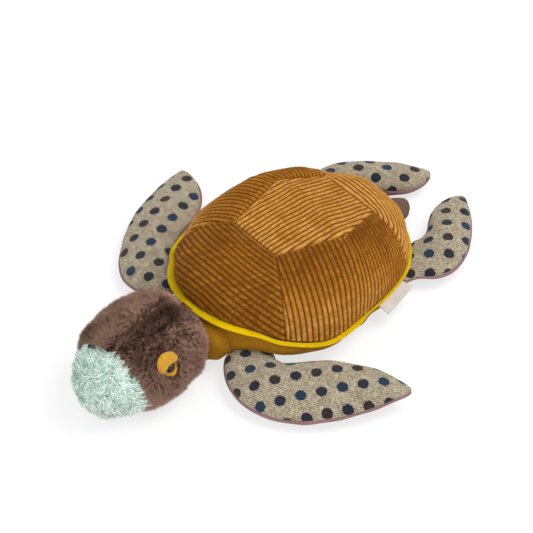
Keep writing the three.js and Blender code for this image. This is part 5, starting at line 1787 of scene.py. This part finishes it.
class TURTLE_OT_stage(bpy.types.Operator):
    """Makes the floor, the lights and the camera"""

    bl_idname = "turtle.stage"
    bl_label = "Stage"

    def execute(self, context):
        scene = context.scene
        self.floor()
        self.world(scene)
        self.lamp("key", place=(0.45, 0.75, 1.5), size=1.1, power=17)
        self.lamp("fill", place=(0.6, -1.4, 0.7), size=1.4, power=7.5)
        self.camera(scene)
        scene.view_settings.view_transform = "Standard"
        return {"FINISHED"}

    def floor(self):
        """Pale paper. Most of what the camera sees of it is glow, so that it is nearly white and
        still holds a soft shadow."""
        half = 3.0
        corners = [(-half, -half, 0), (half, -half, 0), (half, half, 0), (-half, half, 0)]
        mesh = bpy.data.meshes.new("floor")
        mesh.from_pydata(corners, [], [(0, 1, 2, 3)])
        floor = put_object("floor", mesh)
        finish = Finish("floor_paper", Roughness=0.9)
        grain = finish.noise(40 * MM, 2)
        shade = finish.mix(finish.between(grain, 0.2, 0.8, 0, 0.2), colours().floor,
                           darker(colours().floor, 0.98))
        floor.data.materials.append(finish.done(shade))
        glow = finish.node("Emission", {"Color": (1, 1, 1), "Strength": 1.0})
        share = finish.math("MULTIPLY", seen_directly(finish.tree), 0.7)
        both = finish.node("MixShader", {0: share, 1: finish.shader.outputs[0], 2: glow})
        finish.feed(finish.tree.nodes["Material Output"].inputs["Surface"], both)

    def world(self, scene):
        """White where it is seen, and a little weaker as light."""
        world = bpy.data.worlds.new("studio")
        world.use_nodes = True
        scene.world = world
        background = world.node_tree.nodes["Background"]
        background.inputs["Color"].default_value = (1, 1, 1, 1)
        strength = world.node_tree.nodes.new("ShaderNodeMapRange")
        strength.inputs["To Min"].default_value = 0.74
        strength.inputs["To Max"].default_value = 1
        world.node_tree.links.new(seen_directly(world.node_tree), strength.inputs["Value"])
        world.node_tree.links.new(strength.outputs[0], background.inputs["Strength"])

    def lamp(self, name, place, size, power):
        data = bpy.data.lights.new(name, "AREA")
        data.shape = "DISK"
        data.size = size
        data.energy = power
        lamp = put_object(name, data)
        lamp.location = place
        lamp.rotation_euler = (-Vector(place)).to_track_quat("-Z", "Y").to_euler()

    def camera(self, scene):
        """The photograph's view, from the left front and well above."""
        turn, rise = math.radians(CAMERA_TURN), math.radians(CAMERA_RISE)
        back = Vector((math.sin(turn) * math.cos(rise), -math.cos(turn) * math.cos(rise),
                       math.sin(rise)))
        data = bpy.data.cameras.new("camera")
        data.sensor_width = CAMERA_SENSOR
        data.lens = CAMERA_LENS
        camera = put_object("camera", data)
        camera.location = Vector(CAMERA_TARGET) + back * CAMERA_DISTANCE
        camera.rotation_euler = back.to_track_quat("Z", "Y").to_euler()
        scene.camera = camera


class TURTLE_PT_pieces(bpy.types.Panel):
    """Lists the operators, the sizes and the colours"""

    bl_label = "Stuffed Turtle"
    bl_idname = "TURTLE_PT_pieces"
    bl_space_type = "VIEW_3D"
    bl_region_type = "UI"
    bl_category = "Turtle"

    def draw(self, context):
        for operator in OPERATORS:
            self.layout.operator(operator.bl_idname)
        for group in (context.scene.turtle_sizes, context.scene.turtle_colours):
            column = self.layout.column(align=True)
            for name in group.__annotations__:
                column.prop(group, name)


OPERATORS = (
    TURTLE_OT_shell,
    TURTLE_OT_piping,
    TURTLE_OT_label,
    TURTLE_OT_belly,
    TURTLE_OT_neck,
    TURTLE_OT_head,
    TURTLE_OT_muzzle,
    TURTLE_OT_eyes,
    TURTLE_OT_limbs,
    TURTLE_OT_stuffing,
    TURTLE_OT_stage,
)
CLASSES = (TurtleSizes, TurtleColours, *OPERATORS, TURTLE_PT_pieces)


def register():
    for item in CLASSES:
        bpy.utils.register_class(item)
    bpy.types.Scene.turtle_sizes = PointerProperty(type=TurtleSizes)
    bpy.types.Scene.turtle_colours = PointerProperty(type=TurtleColours)


def unregister():
    del bpy.types.Scene.turtle_colours
    del bpy.types.Scene.turtle_sizes
    for item in reversed(CLASSES):
        bpy.utils.unregister_class(item)


def main():
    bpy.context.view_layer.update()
    register()
    for operator in OPERATORS:
        group, name = operator.bl_idname.split(".")
        getattr(getattr(bpy.ops, group), name)()


if __name__ == "__main__":
    main()
